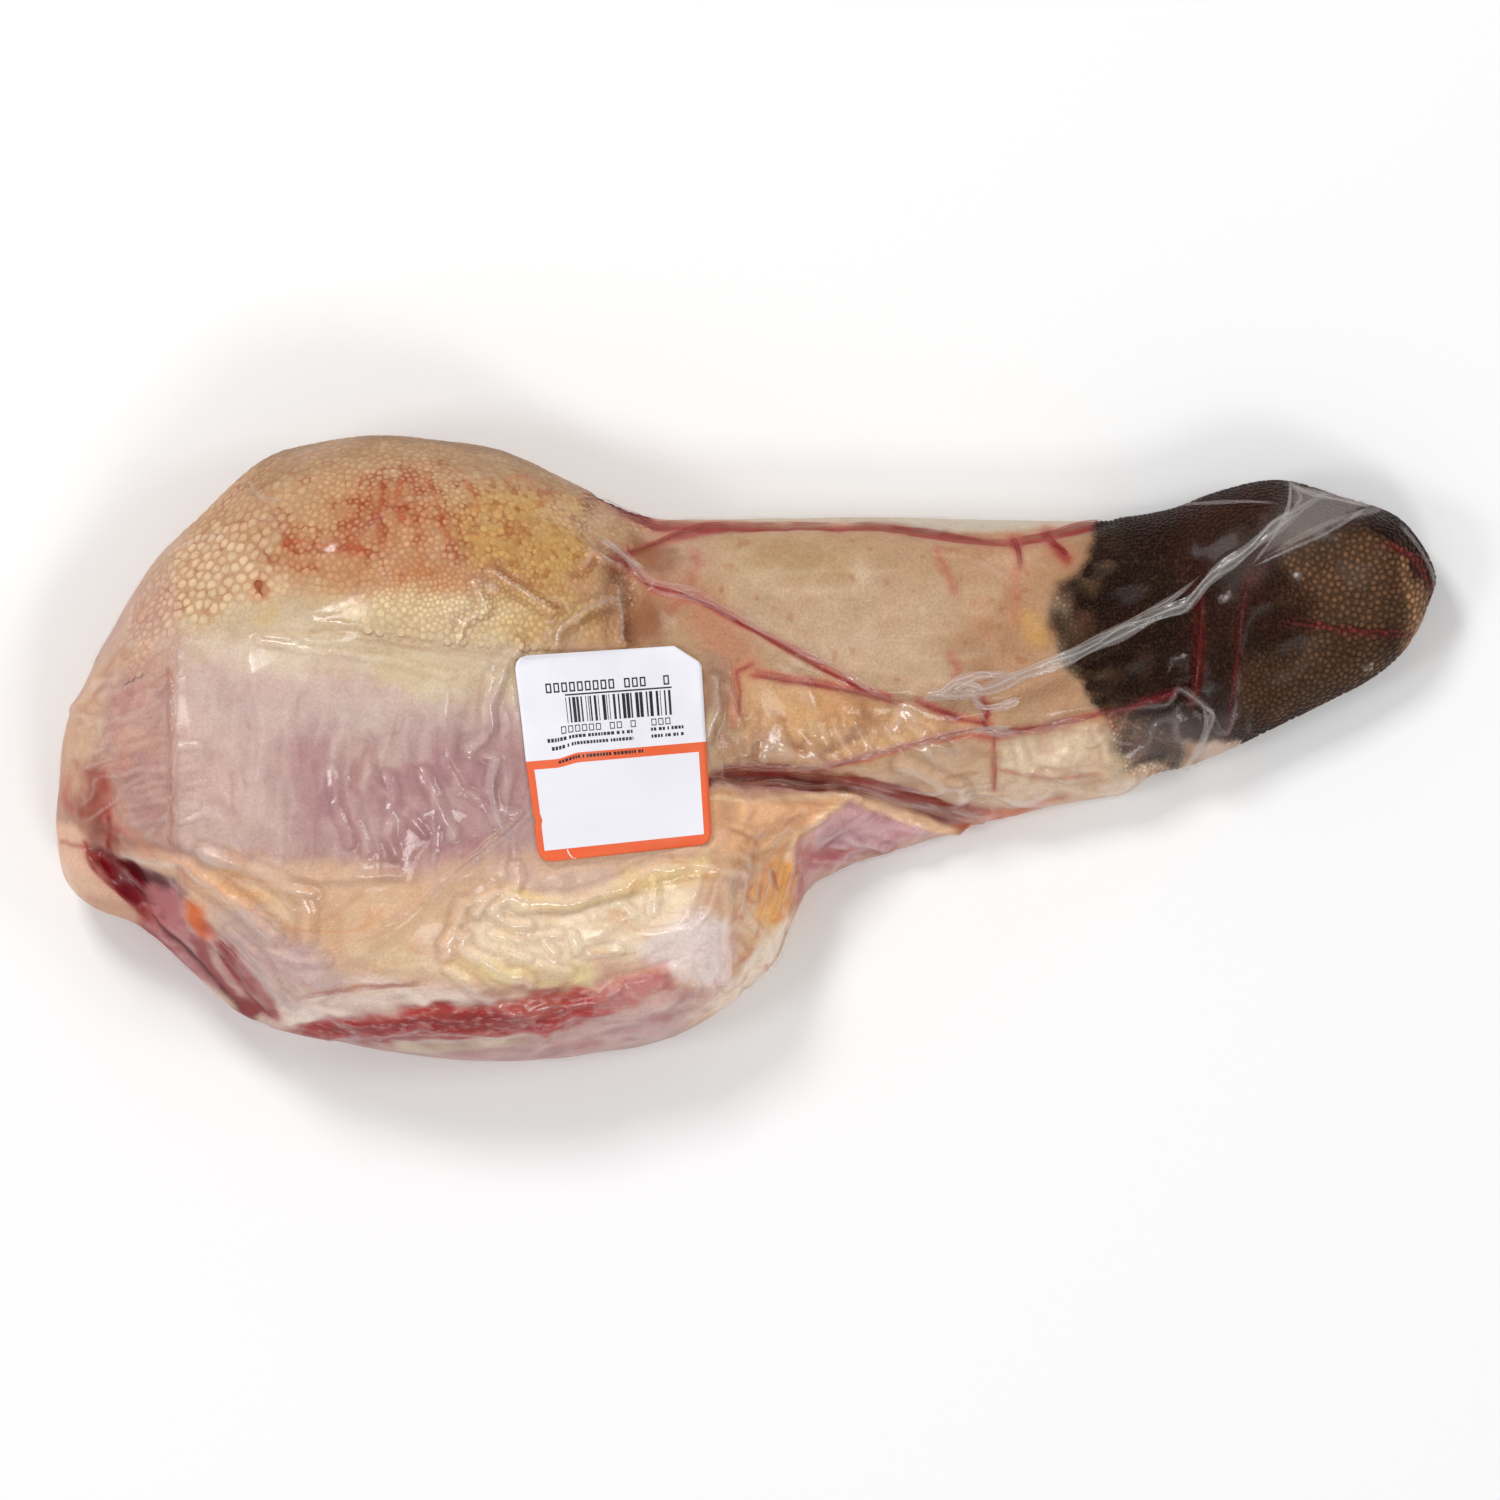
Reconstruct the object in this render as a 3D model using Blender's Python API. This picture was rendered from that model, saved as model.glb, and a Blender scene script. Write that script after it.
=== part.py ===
"""Raw beef tongue, vacuum packed in clear film, with a price label stuck on the film.

The pack lies on its side on a table. +X runs from the thick root to the tip, +Y is the side
that carries the hump of the back of the tongue, and +Z is up. The origin is under the middle
of the pack, on the table. Lengths are millimetres in this frame until the mesh is made.
"""

import bpy
import numpy as np

MM = 0.001

# The outline seen from above: X and Y along its two sides, from the root's end to the tip.
# UPPER_SIDE passes the hump and the back of the blade. LOWER_SIDE passes the fat, the cut
# muscle, the film web and the underside of the tip.
ROOT_END = (-160.1, -17.2)
TIP_END = (160.1, 39.0)
UPPER_SIDE = (
    (-158.0, 2.8), (-153.3, 14.5), (-146.4, 28.3), (-137.2, 43.2), (-125.7, 54.5),
    (-111.9, 66.9), (-100.4, 70.8), (-84.3, 72.9), (-68.2, 71.5), (-54.4, 68.8),
    (-40.6, 62.1), (-24.5, 55.0), (-10.7, 53.8), (26.1, 54.3), (58.3, 53.6),
    (83.6, 53.6), (97.4, 55.7), (108.9, 60.0), (122.7, 62.6), (136.5, 58.9),
    (150.3, 54.3), (157.2, 46.0),
)
LOWER_SIDE = (
    (-158.0, -29.9), (-151.0, -37.0), (-139.5, -41.6), (-128.0, -52.2), (-116.5, -62.1),
    (-102.7, -66.5), (-84.3, -70.2), (-59.0, -72.7), (-33.7, -70.6), (-19.9, -68.1),
    (-8.4, -62.6), (0.8, -55.7), (7.7, -48.5), (11.2, -40.5), (14.5, -33.5),
    (21.5, -28.5), (35.3, -23.7), (58.3, -17.0), (74.4, -13.1), (88.2, -10.8),
    (95.1, -6.0), (106.6, -3.0), (120.4, 3.5), (136.5, 11.3), (148.0, 18.2),
    (154.9, 26.2),
)
OUTLINE_STEPS = 260  # points read along each side

# How high the top of the pack stands over the table at marked spots: X, Y and height.
SPOT_HEIGHTS = {
    "hump, left": (-120.0, 50.0, 52.5),
    "hump, crown": (-85.0, 54.0, 58.0),
    "hump, right": (-48.0, 44.0, 53.5),
    "hump, foot": (-32.0, 34.0, 46.5),
    "flank, left": (-135.0, 12.0, 54.5),
    "flank, low left": (-144.0, -12.0, 51.5),
    "flank, middle": (-103.0, 11.0, 62.0),
    "flank, centre": (-75.0, 6.0, 63.0),
    "flank, right": (-52.0, 6.0, 58.5),
    "under the label": (-30.0, 0.0, 51.5),
    "fat, left": (-114.0, -30.0, 57.5),
    "fat, middle": (-80.0, -35.0, 56.5),
    "fat, right": (-45.0, -35.0, 53.5),
    "fat, lobe": (-15.0, -32.0, 47.5),
    "fat, corner": (2.0, -34.0, 41.5),
    "muscle, left": (-92.0, -58.0, 48.0),
    "muscle, middle": (-57.0, -62.0, 46.0),
    "muscle, right": (-25.0, -58.0, 40.5),
    "gland flap": (-149.0, -29.0, 38.0),
    "neck, back": (-20.0, 44.0, 39.0),
    "neck, middle": (-18.0, 25.0, 40.5),
    "neck, low": (-12.0, 6.0, 42.0),
    "blade, start": (3.0, 25.0, 37.5),
    "blade, middle": (35.0, 26.0, 33.5),
    "blade, dark edge": (72.0, 28.0, 31.0),
    "tip, middle": (105.0, 33.0, 29.0),
    "tip, crown": (128.0, 40.0, 28.0),
    "tip, end": (146.0, 36.0, 24.5),
    "belly, start": (12.0, 1.0, 34.5),
    "belly, middle": (47.0, -2.0, 28.0),
    "belly, dark edge": (77.0, 3.0, 24.5),
    "tip, low": (100.0, 8.0, 23.0),
    "tip, low end": (128.0, 16.0, 21.0),
    "web, fold": (24.0, -14.0, 23.0),
    "web, middle": (28.0, -20.0, 14.5),
    "web, notch": (15.0, -28.0, 18.5),
    "web, end": (54.0, -15.0, 15.0),
}

# The rounding of the sides, all as shares of the height of the top there.
WIDEST_AT = 0.42  # how high over the table the pack is widest
TOP_ROUNDING = 0.52  # how far in from the outline the top stays rounded
BED_ROUNDING = 0.46  # how far in from the outline the underside meets the table

# Creases pressed in between the masses of meat, and pleats of gathered film that stand up:
# the points that each passes in plan, its reach to either side, and its depth or height.
CREASES = {
    "neck_fold": (((-21.0, 55.0), (-25.0, 43.0), (-28.0, 34.0), (-24.0, 22.0)), 6.5, 3.2),
    "pocket_under_blade": (
        ((-8.0, -6.0), (8.0, -8.0), (24.0, -9.5), (42.0, -14.5), (58.0, -17.0)), 5.5, 6.0,
    ),
    "split_in_root": (((-148.0, -22.0), (-130.0, -44.0), (-111.0, -63.0)), 5.5, 7.0),
    "notch_by_lobe": (((4.0, -22.0), (3.0, -32.0), (2.0, -42.0)), 6.5, 2.2),
    "fat_over_muscle": (((-104.0, -60.5), (-68.0, -57.5), (-43.0, -55.5), (-17.0, -48.0)), 5.0, 1.8),
    "pucker_under_tip": (((88.0, 8.5), (95.0, 5.0), (101.0, -1.0)), 5.0, 2.6),
}
UNDER_SHARE = 0.45  # how deep the same creases run in the underside
PLEATS = {
    "upright_pleat": (((-131.6, 46.0), (-131.2, 20.0), (-131.0, -8.0), (-130.0, -40.0)), 3.4, 1.3),
    "flank_pleat": (((-47.0, -16.5), (-66.0, -29.0), (-86.5, -45.0), (-103.0, -57.0)), 3.2, 1.2),
    "neck_pleat": (((-33.0, 44.5), (-24.0, 39.0), (0.0, 27.0), (24.0, 14.0)), 3.4, 1.4),
    "belly_pleat": (((-8.0, -4.8), (12.0, -5.2), (38.0, 0.0), (57.0, 4.5), (83.0, 11.0)), 3.4, 1.5),
    "twisted_strip": (
        ((24.0, 14.0), (58.0, 12.5), (74.0, 18.5), (90.0, 26.0), (105.0, 38.0), (121.0, 50.0)),
        3.8, 2.0,
    ),
    "strip_fan": (((108.0, 43.0), (120.0, 50.5), (133.0, 53.5)), 7.0, 1.4),
}
LINE_STEPS = 40  # points read along each crease and pleat
LUMP_HEIGHT = 0.9
# The meat's lumps as crossed waves: how fast each turns along X and along Y, and its start.
LUMP_WAVES = ((0.23, 0.11, 0.4), (-0.13, 0.27, 1.9), (0.31, -0.22, 3.1), (0.08, 0.36, 5.0))

# The price label. Its corners run clockwise from the top left, and all of them are round but
# the top right one, which is cut off.
LABEL_CORNERS = ((-53.2, 21.2), (-10.6, 24.1), (-7.8, -21.8), (-47.4, -26.0))
LABEL_CORNER_RADIUS = 3.0
LABEL_CUT_ALONG = 6.0
LABEL_CUT_DOWN = 4.5
LABEL_THICKNESS = 0.3
LABEL_GAP = 0.45
LABEL_COLUMNS = 14
LABEL_PRESS = 5.0  # the width over which creases fade out round the label

STATIONS = 520  # rings along X of the fine mesh
RING_POINTS = 220
TONGUE_TRIANGLES = 11200

# Colours are linear RGB.
MEAT_COLOUR = (0.52, 0.33, 0.22)
MEAT_ROUGHNESS = 0.35
PAPER_COLOUR = (0.85, 0.84, 0.88)
PAPER_ROUGHNESS = 0.45


def cosine_steps(count):
    """Numbers from 0 to 1 that crowd together at both ends."""
    return 0.5 - 0.5 * np.cos(np.pi * np.linspace(0.0, 1.0, count))


def smooth_line(points, count):
    """A Catmull-Rom curve through the points, read at even steps of its parameter."""
    knots = np.asarray(points, float)
    padded = np.vstack([2 * knots[0] - knots[1], knots, 2 * knots[-1] - knots[-2]])
    place = np.linspace(0.0, len(knots) - 1.0, count)
    start = np.minimum(place.astype(int), len(knots) - 2)
    t = (place - start)[:, None]
    a, b, c, d = (padded[start + i] for i in range(4))
    return 0.5 * (
        2 * b + (c - a) * t + (2 * a - 5 * b + 4 * c - d) * t**2 + (3 * b - a - 3 * c + d) * t**3
    )


def distance_to_line(x, y, line):
    """How far each point lies from a line of points, in plan."""
    nearest = np.full(x.shape, np.inf)
    for (ax, ay), (bx, by) in zip(line[:-1], line[1:]):
        dx, dy = bx - ax, by - ay
        share = np.clip(((x - ax) * dx + (y - ay) * dy) / (dx * dx + dy * dy), 0.0, 1.0)
        nearest = np.minimum(nearest, np.hypot(x - ax - share * dx, y - ay - share * dy))
    return nearest


def bending(r):
    """The kernel of a thin plate that bends through its supports."""
    return r * r * np.log(np.maximum(r, 1e-6))


def fit_plate(spots):
    """The supports and weights of the thin plate that passes through every spot height."""
    at = np.array([spot[:2] for spot in spots], float)
    heights = np.array([spot[2] for spot in spots], float)
    apart = np.hypot(*(at[:, None, :] - at[None, :, :]).transpose(2, 0, 1))
    flat = np.column_stack([np.ones(len(at)), at])
    stiffness = np.block([[bending(apart), flat], [flat.T, np.zeros((3, 3))]])
    return at, np.linalg.solve(stiffness, np.concatenate([heights, np.zeros(3)]))


def plate_height(x, y, plate):
    """The height of that plate over each point."""
    at, weights = plate
    height = weights[-3] + weights[-2] * x + weights[-1] * y
    for (spot_x, spot_y), weight in zip(at, weights):
        height = height + weight * bending(np.hypot(x - spot_x, y - spot_y))
    return height


def quarter_round(distance, reach):
    """0 at the outline, rising as a quarter circle to 1 at the reach."""
    left = 1.0 - np.clip(distance / reach, 0.0, 1.0)
    return np.sqrt(1.0 - left * left)


def swell(x, y, lines):
    """The sum of smooth ridges along lines, each falling to nothing at its reach."""
    height = np.zeros(x.shape)
    for points, reach, rise in lines.values():
        away = distance_to_line(x, y, smooth_line(points, LINE_STEPS)) / reach
        height += rise * np.maximum(1.0 - away**2, 0.0) ** 2
    return height


def lumps(x, y):
    """The gentle unevenness of meat under tight film."""
    waves = [np.sin(along * x + across * y + start) for along, across, start in LUMP_WAVES]
    return LUMP_HEIGHT * sum(waves) / len(waves)


def label_point(u, v):
    """The plan of the label at u across and v down, both 0 to 1."""
    top_left, top_right, low_right, low_left = (np.array(corner) for corner in LABEL_CORNERS)
    top = top_left + (top_right - top_left) * u
    low = low_left + (low_right - low_left) * u
    return top + (low - top) * v


def label_distance(x, y):
    """How far each point lies outside the label's plan, and 0 under it."""
    corners = np.array(LABEL_CORNERS)
    inside = np.ones(x.shape, bool)
    for (ax, ay), (bx, by) in zip(corners, np.roll(corners, -1, axis=0)):
        inside &= (bx - ax) * (y - ay) - (by - ay) * (x - ax) <= 0.0
    edge = distance_to_line(x, y, np.vstack([corners, corners[:1]]))
    return np.where(inside, 0.0, edge)


def pack_surfaces(x, y, outline, plate):
    """The heights of the top and of the underside of the pack over each point of its plan."""
    crown = plate_height(x, y, plate)
    widest = WIDEST_AT * crown
    inward = distance_to_line(x, y, outline)
    rise = quarter_round(inward, TOP_ROUNDING * crown)
    pressed = swell(x, y, CREASES)
    relief = lumps(x, y) + swell(x, y, PLEATS) - pressed
    relief *= np.clip(label_distance(x, y) / LABEL_PRESS, 0.0, 1.0)
    top = widest + (crown - widest) * rise + relief * rise
    landing = quarter_round(inward, BED_ROUNDING * crown)
    underside = widest * (1.0 - landing) + UNDER_SHARE * pressed * landing
    return top, underside


def add_object(name, points, faces, colour, roughness):
    """A mesh object of these points, in millimetres, with its own material."""
    mesh = bpy.data.meshes.new(name)
    mesh.from_pydata([tuple(MM * c for c in point) for point in points], [], faces)
    mesh.update()
    made = bpy.data.objects.new(name, mesh)
    bpy.context.scene.collection.objects.link(made)
    material = bpy.data.materials.new(name)
    material.use_nodes = True
    shader = material.node_tree.nodes["Principled BSDF"]
    shader.inputs["Base Color"].default_value = (*colour, 1.0)
    shader.inputs["Roughness"].default_value = roughness
    shader.inputs["Metallic"].default_value = 0.0
    mesh.materials.append(material)
    return made


def ring_faces(rings, points_each, first_pole, last_pole):
    """Faces of a skin over rings of points, closed by a pole at each end."""
    faces = []
    for ring in range(rings - 1):
        here, there = ring * points_each, (ring + 1) * points_each
        for i in range(points_each):
            j = (i + 1) % points_each
            faces.append((here + i, there + i, there + j, here + j))
    last = (rings - 1) * points_each
    for i in range(points_each):
        j = (i + 1) % points_each
        faces.append((first_pole, i, j))
        faces.append((last_pole, last + j, last + i))
    return faces


def build_tongue(plate):
    """The tongue in its shrunken film: one solid, lofted as upright rings along X."""
    upper, lower = (
        smooth_line((ROOT_END, *side, TIP_END), OUTLINE_STEPS) for side in (UPPER_SIDE, LOWER_SIDE)
    )
    outline = np.vstack([upper, lower[-2::-1]])
    x = ROOT_END[0] + (TIP_END[0] - ROOT_END[0]) * cosine_steps(STATIONS)[1:-1, None]
    back = np.interp(x, upper[:, 0], upper[:, 1])
    belly = np.interp(x, lower[:, 0], lower[:, 1])

    y = belly + (back - belly) * cosine_steps(RING_POINTS // 2 + 1)
    top, underside = pack_surfaces(np.repeat(x, y.shape[1], axis=1), y, outline, plate)
    ring_y = np.hstack([y, y[:, -2:0:-1]])
    ring_z = np.hstack([top, underside[:, -2:0:-1]])
    ring_x = np.repeat(x, ring_y.shape[1], axis=1)
    points = np.stack([ring_x, ring_y, ring_z], axis=2).reshape(-1, 3)

    poles = []
    for end_x, end_y in (ROOT_END, TIP_END):
        crown = plate_height(np.array([end_x]), np.array([end_y]), plate)[0]
        poles.append((end_x, end_y, WIDEST_AT * crown))
    points = np.vstack([points, poles])
    faces = ring_faces(len(x), ring_y.shape[1], len(points) - 2, len(points) - 1)
    tongue = add_object("tongue", points, faces, MEAT_COLOUR, MEAT_ROUGHNESS)

    thin_out = tongue.modifiers.new("thin out", "DECIMATE")
    thin_out.ratio = TONGUE_TRIANGLES / (2 * len(faces))
    tongue.data.shade_smooth()


def label_rows(height):
    """How far down each row of the label lies, in shares, with fine rows at its two ends."""
    fine = LABEL_CORNER_RADIUS * (1.0 - np.cos(np.radians((0.0, 25.0, 50.0, 75.0)))) / height
    coarse = np.linspace(LABEL_CUT_DOWN / height, 1.0 - LABEL_CUT_DOWN / height, LABEL_COLUMNS)
    return np.concatenate([fine, coarse, 1.0 - fine[::-1]])


def corner_inset(from_end):
    """How far in a round corner starts, at this distance from the label's end."""
    short = np.maximum(LABEL_CORNER_RADIUS - from_end, 0.0)
    return LABEL_CORNER_RADIUS - np.sqrt(LABEL_CORNER_RADIUS**2 - short**2)


def build_label(plate):
    """The paper label: a thin sheet bent to the film under it."""
    top_left, top_right, low_right, low_left = (np.array(corner) for corner in LABEL_CORNERS)
    width = np.linalg.norm(top_right - top_left)
    height = np.linalg.norm(low_left - top_left)
    rows = label_rows(height)
    across = np.linspace(0.0, 1.0, LABEL_COLUMNS + 1)
    plan = []
    for v in rows:
        down, up = v * height, (1.0 - v) * height
        left = corner_inset(min(down, up))
        cut = LABEL_CUT_ALONG * max(1.0 - down / LABEL_CUT_DOWN, 0.0)
        right = max(corner_inset(up), cut)
        plan += [label_point((left + (width - left - right) * u) / width, v) for u in across]
    plan = np.array(plan)
    under = plate_height(plan[:, 0], plan[:, 1], plate) + LABEL_GAP
    points = np.vstack(
        [np.column_stack([plan, under]), np.column_stack([plan, under + LABEL_THICKNESS])]
    )

    wide = len(across)
    count = len(plan)
    faces = []
    for row in range(len(rows) - 1):
        for column in range(wide - 1):
            a = row * wide + column
            b, c, d = a + 1, a + wide + 1, a + wide
            faces += [(a, b, c), (a, c, d)]
            faces += [(a + count, c + count, b + count), (a + count, d + count, c + count)]
    top_edge = list(range(wide))
    right_edge = list(range(wide - 1, count, wide))
    low_edge = list(range(count - 1, count - wide - 1, -1))
    left_edge = list(range(count - wide, -1, -wide))
    for edge in (top_edge, right_edge, low_edge, left_edge):
        faces += [(b, a, a + count, b + count) for a, b in zip(edge, edge[1:])]
    add_object("label", points, faces, PAPER_COLOUR, PAPER_ROUGHNESS)


def main():
    for old in list(bpy.data.objects):
        bpy.data.objects.remove(old)
    plate = fit_plate(SPOT_HEIGHTS.values())
    build_tongue(plate)
    build_label(plate)


main()
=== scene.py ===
# %% [markdown]
# # A raw beef tongue in a vacuum pack
#
# The real object is one tongue, cut off with its root, and shrunk into a clear film. The root is
# a thick lump of fat and muscle at the left, the blade is the flat part, and its end is dark. A
# paper price label sticks to the film.
#
# The scene starts from a fixed frame: two plain solids that give the size and the place of the
# pack and of the label. Everything below is worked out in millimetres, because those are the
# numbers that a ruler gives, and it is turned into Blender's metres when a piece is made.

# %% Load the fixed frame
import itertools
import math

import bpy
import numpy as np
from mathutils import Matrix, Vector
from mathutils.bvhtree import BVHTree
from mathutils.kdtree import KDTree


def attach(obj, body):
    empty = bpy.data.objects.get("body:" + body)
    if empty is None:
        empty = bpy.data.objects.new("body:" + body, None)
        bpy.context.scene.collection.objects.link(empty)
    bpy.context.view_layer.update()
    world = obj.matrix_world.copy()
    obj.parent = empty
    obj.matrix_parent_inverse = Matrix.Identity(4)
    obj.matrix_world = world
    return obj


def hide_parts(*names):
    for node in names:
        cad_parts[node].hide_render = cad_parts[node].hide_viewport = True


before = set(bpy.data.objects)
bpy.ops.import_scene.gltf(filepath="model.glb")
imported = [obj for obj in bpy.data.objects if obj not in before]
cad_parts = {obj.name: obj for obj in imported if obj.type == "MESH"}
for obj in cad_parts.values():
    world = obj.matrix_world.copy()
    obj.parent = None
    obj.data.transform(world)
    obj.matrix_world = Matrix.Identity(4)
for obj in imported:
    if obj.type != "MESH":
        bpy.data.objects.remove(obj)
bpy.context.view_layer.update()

MM = 0.001

# %% [markdown]
# ## The camera
#
# The picture was taken from straight above. A camera that is close shows the sides of a thick
# thing, and one that is far away hardly does. Four metres and a long lens give the flat look of
# a catalogue picture, and the lens follows from the width that the picture has to cover.

# %% Place the camera
PICTURE_WIDTH = 345.0                 # mm that the square picture covers
PICTURE_CENTRE = (0.8, -0.2)          # mm
CAMERA_AWAY = 4000.0                  # mm above the middle of the pack's height
MIDDLE_HEIGHT = 30.0
SENSOR = 36.0

lens = bpy.data.cameras.new("camera")
lens.sensor_width = SENSOR
lens.lens = SENSOR * CAMERA_AWAY / PICTURE_WIDTH
lens.clip_end = 20
camera = bpy.data.objects.new("camera", lens)
camera.location = Vector((*PICTURE_CENTRE, CAMERA_AWAY + MIDDLE_HEIGHT)) * MM
bpy.context.collection.objects.link(camera)
bpy.context.scene.camera = camera
print("lens", round(lens.lens), "mm")

# %% [markdown]
# ## An even net over the tongue
#
# The solid that comes with the frame has about eleven thousand triangles, too few to show skin.
# A Subdivision Surface would keep its uneven triangles. The Remesh modifier in Voxel mode lays a
# new net of small equal squares over any closed shape instead, and a Smooth modifier after it
# irons out the old corners. Equal squares also make the painting below even. Where the surface
# faces up, each square is then split in four, so that fine wrinkles fit on the side that is seen.

# %% Make the net
SKIN_CELL = 1.1                       # mm, side of a square on the meat
FILM_CELL = 1.4                       # mm, side of a square on the film
IRONING = 2.4                         # mm over which corners are ironed out
FINE_SLOPE = 0.4                      # the net is finer wherever the surface faces up more than this


def even_net(node_name, cell):
    """Points and squares of a fine even net over a solid, in mm."""
    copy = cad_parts[node_name].copy()
    copy.data = copy.data.copy()
    bpy.context.collection.objects.link(copy)
    net = copy.modifiers.new("net", "REMESH")
    net.mode = "VOXEL"
    net.voxel_size = cell * MM
    iron = copy.modifiers.new("iron", "SMOOTH")
    iron.factor = 0.5
    iron.iterations = round(2 * (IRONING / cell) ** 2)
    seen = copy.evaluated_get(bpy.context.evaluated_depsgraph_get())
    mesh = bpy.data.meshes.new_from_object(seen)
    points = np.empty(3 * len(mesh.vertices))
    mesh.vertices.foreach_get("co", points)
    corners = np.empty(len(mesh.loops), int)
    mesh.loops.foreach_get("vertex_index", corners)
    bpy.data.objects.remove(copy)
    bpy.data.meshes.remove(mesh)
    return points.reshape(-1, 3) / MM, corners.reshape(-1, 4)


def outward(points, squares):
    """The direction that points out of the surface at each point."""
    a, b, c, d = (points[squares[:, k]] for k in range(4))
    facing = np.cross(c - a, d - b)
    total = np.zeros_like(points)
    for k in range(4):
        for axis in range(3):
            total[:, axis] += np.bincount(squares[:, k], facing[:, axis], len(points))
    return total / np.maximum(np.linalg.norm(total, axis=1, keepdims=True), 1e-9)


def finer_top(points, squares):
    """Splits each square that faces up into four. Neighbours share the new points."""
    up = outward(points, squares)[:, 2] > FINE_SLOPE
    split = up[squares].all(axis=1)
    chosen = squares[split]
    sides = np.sort(np.stack([chosen, np.roll(chosen, -1, axis=1)], axis=2), axis=2)
    pairs, which = np.unique(sides.reshape(-1, 2), axis=0, return_inverse=True)
    halfway = len(points) + which.reshape(-1, 4)
    centre = len(points) + len(pairs) + np.arange(len(chosen))
    quarters = [np.stack([chosen[:, k], halfway[:, k], centre, halfway[:, k - 1]], axis=1)
                for k in range(4)]
    added = [points, points[pairs].mean(axis=1), points[chosen].mean(axis=1)]
    return np.concatenate(added), np.concatenate([squares[~split]] + quarters)


skin_at, skin_squares = finer_top(*even_net("tongue", SKIN_CELL))
film_at, film_squares = finer_top(*even_net("tongue", FILM_CELL))
skin_out = outward(skin_at, skin_squares)
film_out = outward(film_at, film_squares)
print("net on the meat:", len(skin_squares), "squares, on the film:", len(film_squares))

# %% [markdown]
# ## Soft random values
#
# Meat has no two places alike. Blender's Noise texture does that inside a material, but here the
# shape needs the same kind of noise, so it is made in numpy: a block of random numbers is read
# between its cells. A `size` with three numbers stretches the noise, as fibres and folds need.

# %% Noise, lines and outlines
BLOCK = 64
block = np.random.default_rng(7).random((BLOCK, BLOCK, BLOCK)) * 2 - 1


def noise(points, size, shift=0.0):
    """Soft random values from -1 to 1 that change over about size mm."""
    place = points / size + shift
    cell = np.floor(place).astype(int)
    part = place - cell
    part = part * part * (3 - 2 * part)
    total = np.zeros(len(points))
    for corner in itertools.product((0, 1), repeat=3):
        weight = np.prod(np.where(corner, part, 1 - part), axis=1)
        i, j, k = ((cell + corner) % BLOCK).T
        total += weight * block[i, j, k]
    return total


def ease(value):
    """0 below 0, 1 above 1 and an S between."""
    value = np.clip(value, 0, 1)
    return value * value * (3 - 2 * value)


class Surface:
    """Points that can be painted and shaped, with the noise that makes drawn edges ragged."""

    def __init__(self, at, out):
        self.at = at
        self.out = out
        self.top = ease((out[:, 2] + 0.35) / 0.4)     # 1 on the upper side, 0 on the underside
        turned = at + (0, 0, 40) * (1 - self.top[:, None])
        self.ragged = np.stack([noise(turned, 6.0, s) + 0.6 * noise(turned, 2.5, s + 3)
                                for s in (1.5, 9.5)], axis=1)

    def near(self, line, reach):
        """Which points lie within reach of a line's box."""
        low = np.min(line, axis=0) - reach
        high = np.max(line, axis=0) + reach
        return np.flatnonzero(np.all((self.at[:, :2] > low) & (self.at[:, :2] < high), axis=1))

    def cover(self, outline, soft, ragged=1.0):
        """How much an outline covers each point, from 0 to 1, soft over its edge."""
        spots = self.near(outline, soft + 2 * ragged)
        plan = self.at[spots, :2] + ragged * self.ragged[spots]
        depth = line_distance(plan, list(outline) + [outline[0]])
        depth = np.where(inside(plan, outline), depth, -depth)
        whole = np.zeros(len(self.at))
        whole[spots] = ease(0.5 + 0.5 * depth / soft)
        return whole

    def along(self, line, width, ragged=0.4):
        """How much of a soft line lies on each point, from 0 to 1."""
        spots = self.near(line, 3 * width + 2 * ragged)
        plan = self.at[spots, :2] + ragged * self.ragged[spots]
        whole = np.zeros(len(self.at))
        whole[spots] = np.exp(-(line_distance(plan, line) / width) ** 2)
        return whole * self.top


def line_distance(plan, line):
    """Distance from points to a line of straight stretches, in plan."""
    nearest = np.full(len(plan), 1e9)
    for start, end in zip(np.array(line[:-1], float), np.array(line[1:], float)):
        step = end - start
        share = np.clip((plan - start) @ step / (step @ step), 0, 1)
        gap = plan - start - share[:, None] * step
        nearest = np.minimum(nearest, np.hypot(gap[:, 0], gap[:, 1]))
    return nearest


def inside(plan, outline):
    """Whether points lie inside an outline, in plan."""
    hit = np.zeros(len(plan), bool)
    x, y = plan.T
    for (ax, ay), (bx, by) in zip(outline, list(outline[1:]) + [outline[0]]):
        if ay != by:
            cross = ax + (y - ay) * (bx - ax) / (by - ay)
            hit ^= ((ay > y) != (by > y)) & (x < cross)
    return hit


skin = Surface(skin_at, skin_out)
film = Surface(film_at, film_out)
print("points on the meat", len(skin.at), "and on the film", len(film.at))

# %% [markdown]
# ## Painting with washes and lines
#
# The colours of meat change in patches with soft, ragged edges, and blood lies in thin lines
# along the folds. One way is to paint by hand in Texture Paint, which can't be written down as a
# script. Here the paint is a colour for each point of the net, laid on as a painter would: a
# `wash` fills an outline, a `line` follows a fold, and each covers what lies below it.
# Colours are given as they look on a screen and turned into the linear values that light needs.

# %% Paint tools
BARE_SKIN = (206, 164, 146)           # what shows wherever nothing else is painted
layers = []                           # the names of what is painted, in its order


def light(colour):
    """A colour as a screen shows it, from 0 to 255, as linear light."""
    return (np.array(colour) / 255.0) ** 2.2


skin.colour = np.tile(light(BARE_SKIN), (len(skin.at), 1))


def lay(share, colour):
    """Covers the skin with a colour, by a share from 0 to 1 at each point."""
    skin.colour += (light(colour) - skin.colour) * share[:, None]


def wash(name, colour, soft, strength, outline, ragged=1.2):
    """Paint that fills an outline. soft and ragged are mm, strength is from 0 to 1."""
    layers.append(name)
    lay(strength * skin.cover(outline, soft, ragged), colour)


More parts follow.
